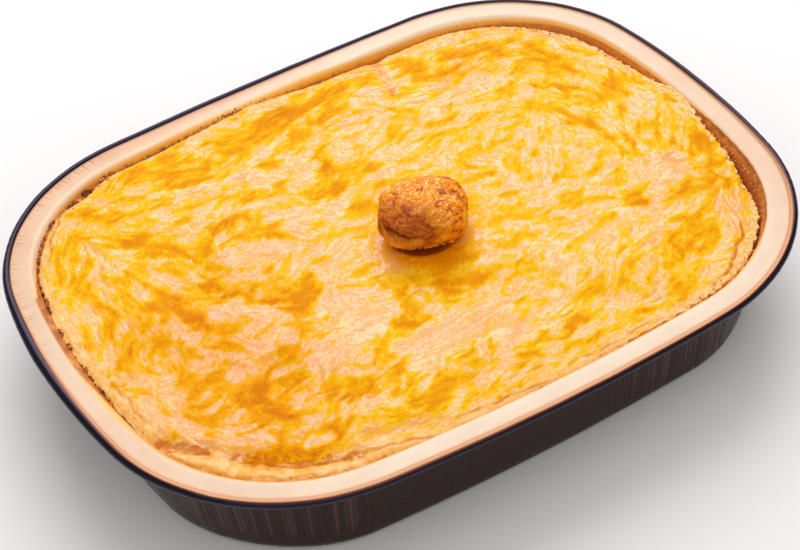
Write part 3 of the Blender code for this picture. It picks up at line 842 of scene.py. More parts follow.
def stroke_run(x, y, stroke):
    """Distances of points along and across a stroke from its middle."""
    middle_x, middle_y, bearing, *_ = stroke
    turn = math.radians(bearing)
    from_x, from_y = x - middle_x * MM, y - middle_y * MM
    along = from_x * math.cos(turn) + from_y * math.sin(turn)
    across = from_y * math.cos(turn) - from_x * math.sin(turn)
    return along, across


def half_widths_off(x, y, stroke):
    """How far points lie from a stroke's middle line, in half widths."""
    _, _, _, length, width, _ = stroke
    along, across = stroke_run(x, y, stroke)
    over = np.maximum(np.abs(along) - max(length - width, 0) * MM / 2, 0)
    return np.hypot(over, across) / (width * MM / 2)


def brush_way():
    """Bearing of the brush over the crust, in radians."""
    double_x = np.full_like(WASH_X, WASH_BASE_PULL * math.cos(2 * WASH_BASE_BEARING))
    double_y = np.full_like(WASH_X, WASH_BASE_PULL * math.sin(2 * WASH_BASE_BEARING))
    for stroke in WASH_STROKES:
        _, _, bearing, length, width, _ = stroke
        turn = 2 * math.radians(bearing)
        slenderness = min(length / width, SLENDER_STROKE) / SLENDER_STROKE
        away = half_widths_off(WASH_X, WASH_Y, stroke)
        pull = np.exp(-0.5 * (away / STROKE_TURN_REACH) ** 2) * slenderness
        double_x += pull * math.cos(turn)
        double_y += pull * math.sin(turn)
    return 0.5 * np.arctan2(double_y, double_x)


def brush_run():
    """Distances along and across the nearest strokes, blended from one stroke to the next."""
    turn = WASH_BASE_BEARING
    total = np.full_like(WASH_X, WASH_BASE_PULL)
    along = WASH_BASE_PULL * (WASH_X * math.cos(turn) + WASH_Y * math.sin(turn))
    across = WASH_BASE_PULL * (WASH_Y * math.cos(turn) - WASH_X * math.sin(turn))
    for stroke in WASH_STROKES:
        away = half_widths_off(WASH_X, WASH_Y, stroke)
        share = np.exp(-0.5 * (away / STROKE_RUN_REACH) ** 2)
        stroke_along, stroke_across = stroke_run(WASH_X, WASH_Y, stroke)
        along += share * stroke_along
        across += share * stroke_across
        total += share
    return along / total, across / total


def stroke_tone(x, y):
    """How much wash all the strokes together left at these points."""
    tone = np.zeros_like(x)
    for stroke in WASH_STROKES:
        tone += stroke[-1] * np.exp(-STROKE_EDGE_SHARPNESS * half_widths_off(x, y, stroke) ** 3)
    return np.clip(tone, *STROKE_TONES)


def wash_field():
    """How much wash lies where, and the ridges that the brush left."""
    rng = np.random.default_rng(WASH_SEED)
    turn = brush_way() + BRUSH_TURN * field_noise(rng, *BRUSH_TURN_WAVES)
    way_x, way_y = np.cos(turn), np.sin(turn)
    wide = brushed(field_noise(rng, *WIDE_MARK_WAVES), way_x, way_y, WIDE_MARK_DRAW)
    thin = brushed(field_noise(rng, *THIN_MARK_WAVES), way_x, way_y, THIN_MARK_DRAW)
    line_noise = field_noise(rng, *LINE_WAVES) + LINE_STRAY * thin
    lines = np.exp(-((line_noise / LINE_HALF_WIDTH) ** 2))
    x = WASH_X + STROKE_EDGE_STRAY * field_noise(rng, *STROKE_EDGE_WAVES) + STROKE_EDGE_FRINGE * thin
    y = WASH_Y + STROKE_EDGE_STRAY * field_noise(rng, *STROKE_EDGE_WAVES) + STROKE_EDGE_FRINGE * wide
    tone = stroke_tone(x, y)
    specks = field_noise(rng, *SPECK_WAVES)
    loose = 1 - MARKS_LOST_IN_STROKES * np.clip(np.abs(tone), 0, 1)
    marks = WIDE_MARK_SHARE * wide + THIN_MARK_SHARE * thin - LINE_SHARE * lines
    wash = WASH_LEVEL + STROKE_SHARE * tone + loose * marks + SPECK_SHARE * specks
    relief = WASH_RIDGE * (THIN_RIDGE_SHARE * thin + wide + lines)
    relief -= WASH_POOL_DEPTH * np.clip(wash, *POOL_TONES)
    return wash, relief


# ---------------------------------------------------------------- pie


def swells(x, y):
    """The crust's broad swells."""
    rng = np.random.default_rng(WAVE_SEED)
    lengths = np.geomspace(WAVE_SHORTEST, WAVE_LONGEST, WAVE_COUNT)
    headings = rng.uniform(0, 2 * math.pi, WAVE_COUNT)
    phases = rng.uniform(0, 2 * math.pi, WAVE_COUNT)
    heights = WAVE_HEIGHT * (lengths / WAVE_LONGEST) / math.sqrt(WAVE_COUNT / 2)
    total = np.zeros_like(x)
    for length, heading, phase, high in zip(lengths, headings, phases, heights):
        run = x * math.cos(heading) + y * math.sin(heading)
        total += high * np.sin(2 * math.pi * run / length + phase)
    return total


def fold_depth(x, y):
    """How far the folds sink the crust."""
    depth = np.zeros_like(x)
    for start, end, half_width, deepest in FOLDS:
        run_x, run_y = end[0] - start[0], end[1] - start[1]
        share = ((x - start[0]) * run_x + (y - start[1]) * run_y) / (run_x**2 + run_y**2)
        share = np.clip(share, 0, 1)
        away = np.hypot(x - start[0] - share * run_x, y - start[1] - share * run_y)
        depth = np.maximum(depth, deepest * np.exp(-((away / half_width) ** 2)))
    return depth


def past_crust_edge(x, y):
    """How far points lie inside the usual place of the crust's edge."""
    return depth_inside(x, y) - WALL_TOP_INSET - CRUST_EDGE_GAP


def inwards_of_edge(x, y):
    """How far points lie inside the crust's edge, and 0 for points outside it."""
    return np.maximum(past_crust_edge(x, y), 0)


def rim_share(x, y, rough):
    """How much points belong to the dry rim, from 0 to 1; rough makes its inner limit wander."""
    width = by_bearing(x, y, RIM_WIDTHS) * MM
    inwards = past_crust_edge(x, y) + RIM_LIMIT_WANDER * rough
    return 1 - smooth_step((inwards - RIM_SOLID_SHARE * width) / width)


def rim_cracks(x, y, wander, broken):
    """Depth of the rim's cracks and height of the lips beside them, in mm; wander makes the cracks
    wander and broken interrupts them."""
    bearing = np.degrees(np.arctan2(y, x))
    inwards = past_crust_edge(x, y) + CRACK_WANDER * wander
    cracks, lips = np.zeros_like(x), np.zeros_like(x)
    for first, last, first_inset, last_inset, deep, lip, half_width, brokenness in RIM_CRACKS:
        share = (bearing - first) / (last - first)
        along = smooth_step(share / CRACK_RUN_IN) * smooth_step((1 - share) / CRACK_RUN_IN)
        past = inwards - (first_inset + (last_inset - first_inset) * np.clip(share, 0, 1)) * MM
        across = np.exp(-((past / (half_width * MM)) ** 2))
        whole = 1 - brokenness * np.clip(CRACK_BREAK_BELOW - broken, 0, 1)
        cracks = np.maximum(cracks, deep * along * across * whole)
        inner = smooth_step(past / (half_width * MM) + 0.5) * np.exp(-np.maximum(past, 0) / LIP_REACH)
        lips = np.maximum(lips, lip * along * inner)
    return cracks, lips


def edge_change(x, y):
    """How much further from the wall, and how much higher, the crust's edge is on these bearings."""
    gap, rise = np.zeros_like(x), np.zeros_like(x)
    for bearing, spread, further, higher in EDGE_PLACES:
        turned = (np.degrees(np.arctan2(y, x)) - bearing + 180) % 360 - 180
        share = np.exp(-((turned / spread) ** 2))
        gap += further * share
        rise += higher * share
    return gap, rise


def dome_height(x, y):
    """Height of the plain dome, raised where its edge stands higher."""
    inwards = inwards_of_edge(x, y)
    rise = edge_change(x, y)[1] * np.exp(-inwards / EDGE_PLACE_REACH)
    return FLANGE_HEIGHT - CRUST_EDGE_DROP + DOME_RISE * (1 - np.exp(-inwards / DOME_REACH)) + rise


def crust_height(x, y, relief):
    """Height of the crust before the rim's bend, with a flat seat under the ball."""
    calm = 1 - np.exp(-inwards_of_edge(x, y) / EDGE_CALM)
    surface = dome_height(x, y) + swells(x, y) * calm - fold_depth(x, y) + relief
    away = np.hypot(x - BALL_CENTRE[0], y - BALL_CENTRE[1])
    seat = 1 - smooth_step((away - SEAT_RADIUS) / SEAT_FADE)
    return surface * (1 - seat) + dome_height(*np.array(BALL_CENTRE)) * seat


def ball_painted_shadow(x, y):
    """How much painted shadow the crust takes round the ball's foot: a dark band close round it and
    a wider orange glow on the side away from the window.
    """
    from_x, from_y = x - BALL_CENTRE[0], y - BALL_CENTRE[1]
    away = np.hypot(from_x / BALL_HALF_SIZES[0], from_y / BALL_HALF_SIZES[1])
    dark, wide = (
        np.exp(-((np.maximum(away - start, 0) / fade) ** 2)) for start, fade in (BALL_SHADOW_BAND, BALL_SHADOW_GLOW)
    )
    facing = 0.5 + 0.5 * np.cos(np.arctan2(from_y, from_x) - BALL_SHADOW_BEARING)
    ball_shadow = BALL_SHADOW_BAND_SHARE * dark * at_least(BALL_SHADOW_BEHIND, facing)
    return ball_shadow + BALL_SHADOW_GLOW_SHARE * wide * facing**2


def crust_edge_inset(distances, raggedness):
    """Inset of the crust's edge, which never touches the tray."""
    x, y = outline_point(distances, WALL_TOP_INSET + CRUST_EDGE_GAP)
    gap, rise = edge_change(x, y)
    lap = 2 * math.pi * distances / OUTLINE_LENGTH
    wander = sum(EDGE_WANDER * np.sin(turns * lap + turns) for turns in EDGE_WANDER_TURNS)
    rng = np.random.default_rng(EDGE_SEED)
    ragged = EDGE_RAGGED * rippled(rng, distances, *EDGE_RAGGED_WAVES)
    torn = EDGE_TORN * rippled(rng, distances, *EDGE_TORN_WAVES)
    share = by_bearing(x, y, TORN_PLACES)
    ragged = raggedness * (at_least(EDGE_LEAST_RAGGED, share) * ragged + share * torn)
    nearest_foil = food_side_inset(FLANGE_HEIGHT - CRUST_EDGE_DROP + np.maximum(rise, 0))
    return nearest_foil + np.maximum(CRUST_EDGE_GAP + gap + wander + ragged, 0)


def crowded(count):
    """Shares from 0 to 1 that crowd together towards both ends."""
    shares = np.linspace(0, 1, count + 1)
    return shares - PIE_CROWDING * np.sin(2 * math.pi * shares) / (2 * math.pi)


def pie_stretches():
    """Distances of the pie's stations on each of the outline's four stretches between corners."""
    corner = ARC_LENGTHS[1]
    start = -corner / 2
    stretches = []
    for arc, count in ((0, PIE_ROWS), (2, PIE_COLUMNS)) * 2:
        length = ARC_LENGTHS[arc] + corner
        stretches.append(start + length * crowded(count))
        start += length
    return stretches


def four_sides(ring, counts):
    """Values round the border of the crust's grid as its right, top, left and bottom sides, each
    running the grid's own way."""
    loop = np.concatenate([ring, ring[:1]])
    starts = np.concatenate(([0], np.cumsum(counts)))
    right, top, left, bottom = (loop[first : last + 1] for first, last in zip(starts, starts[1:]))
    return right[None], top[::-1][:, None], left[::-1][None], bottom[:, None]


def crust_patch(edge, counts):
    """Plan places of the crust's grid, spanned between the four stretches of its edge."""
    right, top, left, bottom = four_sides(edge, counts)
    u = crowded(PIE_COLUMNS)[:, None, None]
    v = crowded(PIE_ROWS)[None, :, None]
    blend = (1 - v) * bottom + v * top + (1 - u) * left + u * right
    low = (1 - u) * bottom[0] + u * bottom[-1]
    high = (1 - u) * top[0] + u * top[-1]
    return blend - (1 - v) * low - v * high


def ragged_border(plan, counts, shift):
    """Moves the border of the grid by its ragged shift, and the rows beside it by less and less."""
    right, top, left, bottom = four_sides(shift, counts)
    column = np.arange(PIE_COLUMNS + 1)[:, None, None]
    row = np.arange(PIE_ROWS + 1)[None, :, None]
    steps = (row, PIE_ROWS - row, column, PIE_COLUMNS - column)
    near = [np.maximum(1 - away / EDGE_RAGGED_ROWS, 0) for away in steps]
    moved = near[0] * bottom + near[1] * top + near[2] * left + near[3] * right
    return plan + moved / np.maximum(sum(near), 1)


def pie_side_rings(distances, inset, edge_height):
    """Rings of the pie's side from its base up to just under the crust's edge."""
    skin = FOIL / 2 + CLEARANCE
    rng = np.random.default_rng(EDGE_SEED + 1)
    side_top = FLANGE_HEIGHT - CRUST_SIDE_TOP_DROP
    level = np.ones_like(distances)
    lower = [*foot_arc(skin, 3), (wall_inset(skin, side_top), side_top)]
    rings = [(ring_inset * level, height * level) for ring_inset, height in lower]
    deepness = by_bearing(*outline_point(distances, inset), GAP_DEPTHS)
    for drop, openness in GAP_STEPS:
        rough = GAP_ROUGHNESS * rippled(rng, distances, *GAP_ROUGHNESS_WAVES)
        height = edge_height - drop * deepness
        wall = food_side_inset(height)
        rings.append((np.maximum(wall + openness * (inset - wall) + rough, wall), height))
    _, facing = outline_place(distances)
    points = []
    for ring_inset, height in rings:
        x, y = outline_point(distances, ring_inset + corner_tuck(facing, height))
        points.append(bent(x, y, height))
    return points


def crust_fields():
    """What lies over the crust's plan: its relief, and the numbers that its finish reads."""
    wash, relief = wash_field()
    along, across = brush_run()
    rng = np.random.default_rng(EDGE_SEED + 2)
    rough = field_noise(rng, *RIM_LIMIT_WAVES)
    crumble = field_noise(rng, *CRUMBLE_WAVES)
    rim = rim_share(WASH_X, WASH_Y, rough)
    broken = field_noise(rng, *CRACK_BREAK_WAVES)
    wander = field_noise(rng, *CRACK_WANDER_WAVES)
    crack, lip = rim_cracks(WASH_X, WASH_Y, wander, broken)
    torn = by_bearing(WASH_X, WASH_Y, TORN_PLACES)
    crumbles = CRUMBLE_HEIGHT * at_least(LEAST_CRUMBLE, torn) * rim * crumble
    relief = relief * (1 - RIM_SMOOTHING * rim) + crumbles
    relief += (lip - crack) * MM
    relief -= RIM_ROUNDING * np.exp(-inwards_of_edge(WASH_X, WASH_Y) / RIM_ROUNDING_REACH)
    rich = RICH_NOISE * field_noise(rng, *RICH_WAVES)
    for middle_x, middle_y, extent, amount in RICH_PLACES:
        away = np.hypot(WASH_X - middle_x * MM, WASH_Y - middle_y * MM) / (extent * MM)
        rich += amount * np.exp(-(away**2))
    looks = {"wash": wash, "rich": rich, "rim": rim, "torn": torn, "crack": crack}
    looks.update(along=along, across=across)
    return relief, looks


def pie_faces(stations, side_rings):
    """Faces of the pie's side, of the crust's grid, of the joint between them and of the base."""
    first = side_rings * stations
    shape = (PIE_COLUMNS + 1, PIE_ROWS + 1)
    grid = first + np.arange(shape[0] * shape[1]).reshape(shape)
    border = np.concatenate([grid[-1, :-1], grid[:0:-1, -1], grid[0, :0:-1], grid[:-1, 0]])
    lowest = np.arange(stations)
    upper = first - stations + lowest
    joining = np.stack([upper, np.roll(upper, -1), np.roll(border, -1), border], -1)
    cells = np.stack([grid[:-1, :-1], grid[1:, :-1], grid[1:, 1:], grid[:-1, 1:]], -1)
    side = ring_quads(side_rings, stations, outwards=True)
    quads = np.concatenate([side, joining, cells.reshape(-1, 4)])
    return quads.tolist() + [lowest[::-1].tolist()]


def build_pie():
    """The whole pie: flat base, side, ragged rim and washed crust."""
    relief, looks = crust_fields()
    stretches = pie_stretches()
    counts = [len(stretch) - 1 for stretch in stretches]
    distances = np.concatenate([stretch[:-1] for stretch in stretches])
    inset = crust_edge_inset(distances, 1.0)
    edge = np.stack(outline_point(distances, inset), -1)
    calm_edge = np.stack(outline_point(distances, crust_edge_inset(distances, 0.0)), -1)
    plan = ragged_border(crust_patch(calm_edge, counts), counts, edge - calm_edge)
    x, y = plan[..., 0], plan[..., 1]
    top = bent(x, y, crust_height(x, y, sampled(relief, x, y))).reshape(-1, 3)
    edge_x, edge_y = edge.T
    edge_height = crust_height(edge_x, edge_y, sampled(relief, edge_x, edge_y))
    rings = pie_side_rings(distances, inset, edge_height)
    points = np.concatenate([*rings, top])
    pie = add_piece("pie_crust", points, pie_faces(len(distances), len(rings)))

    x, y = points[:, 0], points[:, 1]
    rings_down = np.zeros(len(points))
    rings_down[: -len(top)] = np.repeat(np.arange(len(rings))[::-1] + 1.0, len(distances))
    shown = {name: sampled(field, x, y) for name, field in looks.items()}
    shown["rich"] = np.clip(shown["rich"], 0, 1)
    shown["crack"] = np.minimum(shown["crack"] / DARK_CRACK, 1)
    shown["side"] = np.minimum(rings_down / DARK_SIDE_RINGS, 1)
    shown["fold"] = fold_depth(x, y) / DEEPEST_FOLD
    # Painted shadow of the ball on the crust.
    shown["ball_shadow"] = ball_painted_shadow(x, y)
    for name, values in shown.items():
        store(pie, name, values)
    pie.data.materials.append(washed_crust())
    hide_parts("pie")
    return pie


# ---------------------------------------------------------------- ball of pastry


def ball_slit(ways, wavy):
    """How open the slit is at these places on the ball, how far above it they lie, and how much
    of it runs along their bearing."""
    bearing = np.degrees(np.arctan2(ways[:, 1], ways[:, 0]))
    (first, first_up), (last, last_up) = BALL_SLIT_FIRST, BALL_SLIT_LAST
    share = ((bearing - first) % 360) / (last - first)
    slit_up = (last_up - first_up) * np.clip(share, 0, 1)
    above = ways[:, 2] - first_up - slit_up - BALL_SLIT_WANDER * wavy
    along = smooth_step(share / BALL_SLIT_RUN_IN) * smooth_step((1 - share) / BALL_SLIT_RUN_OUT)
    return along * np.exp(-((above / BALL_SLIT_HALF_WIDTH) ** 2)), above, along


def ball_grain(ways):
    """Unevenness of the dough at these places on the ball: waves, pebbles, grit and ragged foot."""
    places = [Vector(way) for way in ways]
    wavy = [noise.noise(spot * BALL_WAVY_SCALE) for spot in places]
    pebbles = [noise.voronoi(spot * BALL_PEBBLE_SCALE)[0][0] for spot in places]
    grit = [noise.fractal(spot * BALL_GRIT_SCALE, 0.8, 2.1, 3) for spot in places]
    coarse = [noise.fractal(spot * BALL_UNEVENNESS_SCALE, 1.0, 2.0, 3) for spot in places]
    ragged = [noise.noise(Vector((spot.x, spot.y, 0.0)) * BALL_FOOT_SCALE) for spot in places]
    return (np.array(values) for values in (wavy, pebbles, grit, coarse, ragged))


def ball_lumps(ways):
    """The hand-rolled dough's broad lumps, as a change of its size."""
    rng = np.random.default_rng(BALL_LUMP_SEED)
    headings = rng.normal(size=(BALL_LUMPS, 3))
    headings /= np.linalg.norm(headings, axis=1, keepdims=True)
    signs = rng.uniform(-1, 1, BALL_LUMPS)
    near = np.maximum(ways @ headings.T, 0) ** BALL_LUMP_NARROWNESS
    return BALL_LUMP * (near @ signs)


def ball_points(ways, size):
    """Places of the ball's points, squared a little, narrower and flat at the foot."""
    low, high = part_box("pastry_ball")
    squared = ways @ np.array(Matrix.Rotation(BALL_SQUARED_TO, 3, "Z"))
    size = size * (np.abs(squared) ** BALL_SQUARENESS).sum(1) ** (-1 / BALL_SQUARENESS)
    taper = 1 - BALL_FOOT_TAPER * smooth_step(-ways[:, 2] / BALL_TAPER_REACH)
    half_x, half_y, half_z = BALL_HALF_SIZES
    x = BALL_CENTRE[0] + half_x * size * taper * ways[:, 0]
    y = BALL_CENTRE[1] + half_y * size * taper * ways[:, 1]
    up = np.maximum(half_z * size * ways[:, 2], -BALL_FLAT_DROP)
    points = np.stack([x, y, low.z + BALL_FLAT_DROP + up], -1)
    return np.minimum(np.maximum(points, low), high)


def build_ball():
    """A pebbly browned cap over a smoother golden fold, with a slit between them and a ragged foot."""
    bpy.ops.mesh.primitive_ico_sphere_add(subdivisions=BALL_DETAIL, radius=1.0)
    made = bpy.context.object
    made.name = "pastry_ball_baked"
    ball = made.data
    ways = np.empty(len(ball.vertices) * 3, np.float32)
    ball.vertices.foreach_get("co", ways)
    ways = ways.reshape(-1, 3).astype(float)
    ways /= np.linalg.norm(ways, axis=1, keepdims=True)
    wavy, pebbles, grit, coarse, ragged = ball_grain(ways)
    slit, above, along = ball_slit(ways, wavy)
    foot = smooth_step((BALL_FOOT_TOP + BALL_FOOT_RAGGED * ragged - ways[:, 2]) / BALL_FOOT_RAGGED)
    browned = (1 - foot) * (1 - along * smooth_step(0.5 - above / BALL_SLIT_BROWNING))
    swollen = along * smooth_step(above / BALL_CAP_FOOT) * smooth_step(1 - above / BALL_CAP_TOP)
    pebbly = BALL_PEBBLE * (BALL_PEBBLE_LEVEL - pebbles) + BALL_GRIT * grit

    size = 1 + ball_lumps(ways) + BALL_UNEVENNESS * coarse
    size += BALL_CAP_SWELL * swollen
    size += pebbly * at_least(BALL_LEAST_PEBBLY, browned)
    size += BALL_FOOT_FLARE * foot * (BALL_FLARE_BASE + ragged) - BALL_SLIT_DEPTH * slit
    ball.vertices.foreach_set("co", ball_points(ways, size).astype(np.float32).ravel())
    ball.update()
    ball.shade_smooth()
    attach(made, "root")
    store(made, "browned", browned)
    store(made, "glazed", browned * smooth_step(BALL_GLAZE_RISE + ways[:, 2]))
    store(made, "slit", slit)
    store(made, "shaded", along * np.exp(-((above / BALL_SLIT_SHADE) ** 2)))
    # Painted shade on the ball's side away from the window.
    towards = ways @ np.array(Vector(BALL_SHADED_SIDE_WAY).normalized())
    store(made, "shaded_side", smooth_step(BALL_SHADED_SIDE_SHARPNESS * towards - BALL_SHADED_SIDE_SHORT))
    store(made, "pebbles", pebbles)
    store(made, "coarse", coarse)
    ball.materials.append(browned_pastry())
    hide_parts("pastry_ball")
    return made


# ---------------------------------------------------------------- crumbs


def distance_at(bearings):
    """Distances along the outline at these bearings."""
    distances = np.linspace(0, OUTLINE_LENGTH, OUTLINE_SAMPLES)
    x, y = outline_point(distances, WALL_TOP_INSET)
    turned = np.unwrap(np.arctan2(y, x))
    wanted = np.radians(bearings)
    return np.interp(turned[0] + np.mod(wanted - turned[0], 2 * math.pi), turned, distances)


def crumb_seats(rng, lie, distances, sizes):
    """Places of crumbs that lie in the gap, stick to the wall, or lie on the crust's very edge
    or its rim."""
    inset = crust_edge_inset(distances, 1.0)
    edge_x, edge_y = outline_point(distances, inset)
    edge_height = crust_height(edge_x, edge_y, -RIM_ROUNDING)
    if lie == "wall":
        height = FLANGE_HEIGHT - rng.uniform(*CRUMB_WALL_DROPS, len(distances))
        inset = food_side_inset(height) - CLEARANCE + CRUMB_SINK * sizes
    elif lie == "gap":
        openness = rng.uniform(*CRUMB_GAP_PLACES, len(distances))
        drops, shares = zip(*GAP_STEPS)
        drop = np.interp(openness, shares, drops) * by_bearing(edge_x, edge_y, GAP_DEPTHS)
        height = edge_height - drop
        wall = food_side_inset(height)
        inset = wall + openness * (inset - wall)
        height = height + CRUMB_SINK * sizes
    elif lie == "ledge":
        share = rng.uniform(0, 1, len(distances))
        height = edge_height + (1 - share) * CRUMB_LEDGE_RISE
        wall = food_side_inset(height)
        inset = wall + share * (inset - wall) + (1 - share) * CRUMB_SINK * sizes
        height = height + CRUMB_SINK * sizes - CLEARANCE
    else:
        inset = inset + rng.uniform(0, CRUMB_RIM_REACH, len(distances))
        x, y = outline_point(distances, inset)
        height = crust_height(x, y, CRUMB_SINK * sizes)
    return bent(*outline_point(distances, inset), height)


def crumb_shape():
    """Corners and faces of one round crumb of half size 1."""
    shape = bmesh.new()
    bmesh.ops.create_icosphere(shape, subdivisions=CRUMB_DETAIL, radius=1.0)
    corners = np.array([corner.co for corner in shape.verts])
    faces = np.array([[corner.index for corner in face.verts] for face in shape.faces])
    shape.free()
    return corners, faces


def scatter_crumbs():
    """Loose crumbs along the crust's edge as one mesh."""
    rng = np.random.default_rng(CRUMB_SEED)
    corners, faces = crumb_shape()
    points, shades = [], []
    for first, last, count, lie, smallest, largest, darkest, palest in CRUMB_PLACES:
        sizes = rng.uniform(smallest, largest, count) * MM
        seats = crumb_seats(rng, lie, distance_at(rng.uniform(first, last, count)), sizes)
        stretch = rng.uniform(*CRUMB_STRETCH, (count, 1, 3))
        jitter = 1 + CRUMB_JITTER * rng.normal(size=(count, len(corners), 1))
        angles, axes = rng.uniform(0, math.pi, count), rng.normal(size=(count, 3))
        turns = [Matrix.Rotation(angle, 3, Vector(axis)) for angle, axis in zip(angles, axes)]
        shaped = np.einsum("cij,cvj->cvi", np.array(turns), corners * stretch * jitter)
        points.append(shaped * sizes[:, None, None] + seats[:, None])
        shades.append(np.repeat(rng.uniform(darkest, palest, count), len(corners)))
    points = np.concatenate(points)
    faces = faces + np.arange(len(points))[:, None, None] * len(corners)
    crumbs = add_piece("loose_crumbs", points.reshape(-1, 3), faces.reshape(-1, 3).tolist())
    store(crumbs, "shade", np.concatenate(shades))
    crumbs.data.materials.append(crumb_pastry())
    return crumbs


# ---------------------------------------------------------------- shader helpers


def new_material(name, roughness=0.5, metallic=0.0, specular=0.5):
    """A material with its Principled shader, which the finish's nodes feed."""
    made = bpy.data.materials.new(name)
    made.use_nodes = True
    shader = made.node_tree.nodes["Principled BSDF"]
    shader.inputs["Roughness"].default_value = roughness
    shader.inputs["Metallic"].default_value = metallic
    shader.inputs["Specular IOR Level"].default_value = specular
    return made, made.node_tree, shader


def linear(red, green, blue):
    """Linear colour of a screen colour given from 0 to 255."""
    values = [channel / 255 for channel in (red, green, blue)]
    return [v / 12.92 if v <= 0.04045 else ((v + 0.055) / 1.055) ** 2.4 for v in values] + [1.0]


def put(tree, kind, settings=None, **sockets):
    """Adds a node, sets its properties, and links or sets its input sockets by name."""
    node = tree.nodes.new(kind)
    for key, value in (settings or {}).items():
        setattr(node, key, value)
    for name, value in sockets.items():
        connect(tree, node.inputs[name.replace("_", " ")], value)
    return node


def connect(tree, socket, value):
    """Links an output to a socket, or sets the socket to a plain value."""
    if isinstance(value, bpy.types.NodeSocket):
        tree.links.new(value, socket)
    else:
        socket.default_value = value


def math_node(tree, operation, *values, clamp=False):
    """The result of one sum of values that change over the surface."""
    node = put(tree, "ShaderNodeMath", {"operation": operation, "use_clamp": clamp})
    for socket, value in zip(node.inputs, values):
        connect(tree, socket, value)
    return node.outputs[0]


def times(tree, first, second):
    """The product of two values."""
    return math_node(tree, "MULTIPLY", first, second)


def rest_of(tree, share):
    """What a share leaves of 1."""
    return math_node(tree, "SUBTRACT", 1.0, share)


def raised(tree, base, by, amount):
    """A value raised by an amount of another one."""
    return math_node(tree, "MULTIPLY_ADD", by, amount, base)


def swayed(tree, base, uneven, amount):
    """A value moved up and down by a noise, whose middle is 0.5."""
    return raised(tree, base, math_node(tree, "SUBTRACT", uneven, 0.5), amount)


def ramped(tree, value, low, high, to_low=0.0, to_high=1.0):
    """A value mapped softly from one range to another, held at its ends."""
    node = put(tree, "ShaderNodeMapRange", {"interpolation_type": "SMOOTHSTEP"}, Value=value)
    ends = {"From Min": low, "From Max": high, "To Min": to_low, "To Max": to_high}
    for name, number in ends.items():
        node.inputs[name].default_value = number
    return node.outputs[0]


def mixed(tree, share, first, second):
    """Two colours mixed by a share."""
    node = put(tree, "ShaderNodeMix", {"data_type": "RGBA"})
    connect(tree, node.inputs[0], share)
    connect(tree, node.inputs[6], first)
    connect(tree, node.inputs[7], second)
    return node.outputs[2]


def colour_ramp(tree, value, stops):
    """A colour read from a row of places from 0 to 1 and their colours."""
    node = put(tree, "ShaderNodeValToRGB", Fac=value)
    elements = node.color_ramp.elements
    while len(elements) < len(stops):
        elements.new(0.5)
    for element, (position, colour) in zip(elements, stops):
        element.position = position
        element.color = colour
    return node.outputs[0]


def kept(tree, name):
    """A number kept on the mesh's points."""
    return put(tree, "ShaderNodeAttribute", {"attribute_name": name}).outputs["Fac"]


def place(tree):
    """The place on the piece, in metres."""
    return put(tree, "ShaderNodeTexCoord").outputs["Object"]


def noise_value(tree, vector, scale, detail=3.0, roughness=0.55, distortion=0.0):
    """Smooth noise from 0 to 1."""
    node = put(tree, "ShaderNodeTexNoise", Vector=vector, Scale=scale, Detail=detail)
    node.inputs["Roughness"].default_value = roughness
    node.inputs["Distortion"].default_value = distortion
    return node.outputs["Fac"]


def add_bump(tree, shader, height, strength, distance):
    """Small relief of the finish itself, under a millimetre high."""
    bump = put(tree, "ShaderNodeBump", Height=height, Strength=strength, Distance=distance)
    connect(tree, shader.inputs["Normal"], bump.outputs[0])


def new_group(name, inputs, outputs):
    """A shader node group that works from a place and from numbers, and puts out numbers."""
    tree = bpy.data.node_groups.new(name, "ShaderNodeTree")
    tree.interface.new_socket("Place", in_out="INPUT", socket_type="NodeSocketVector")
    for title, value in inputs.items():
        socket = tree.interface.new_socket(title, in_out="INPUT", socket_type="NodeSocketFloat")
        socket.default_value = value
    for title in outputs:
        tree.interface.new_socket(title, in_out="OUTPUT", socket_type="NodeSocketFloat")
    return tree, tree.nodes.new("NodeGroupInput").outputs, tree.nodes.new("NodeGroupOutput").inputs


def use_group(tree, group, **values):
    """The outputs of a node group placed in a material with its own values."""
    node = tree.nodes.new("ShaderNodeGroup")
    node.node_tree = group
    for name, value in values.items():
        connect(tree, node.inputs[name.replace("_", " ")], value)
    return node.outputs


# ---------------------------------------------------------------- shared effects


def baked_grain_group():
    """Fine grain of baked dough: a height for bumps, a mask of small dark pores, and blotches."""
    sizes = {"Grain Scale": 900.0, "Pore Scale": 420.0, "Pore Size": 0.2}
    tree, given, out = new_group("baked grain", sizes, ("Height", "Pores", "Blotch"))
    spot = given["Place"]
    fine = noise_value(tree, spot, given["Grain Scale"], detail=4.0, roughness=0.6)
    cells = put(tree, "ShaderNodeTexVoronoi", {"feature": "F1"}, Vector=spot, Scale=given["Pore Scale"])
    from_middle = math_node(tree, "DIVIDE", cells.outputs["Distance"], given["Pore Size"])
    pore = math_node(tree, "MULTIPLY", rest_of(tree, from_middle), 2.2, clamp=True)
    drawn_lot = put(tree, "ShaderNodeSeparateColor", Color=cells.outputs["Color"]).outputs[0]
    pores = times(tree, pore, math_node(tree, "GREATER_THAN", drawn_lot, 0.45))
    blotch_scale = times(tree, given["Grain Scale"], 0.12)
    blotch = noise_value(tree, spot, blotch_scale, detail=3.0, roughness=0.6)
    height = math_node(tree, "SUBTRACT", fine, times(tree, pores, 0.8))
    connect(tree, out["Height"], height)
    connect(tree, out["Pores"], pores)
    connect(tree, out["Blotch"], blotch)
    return tree


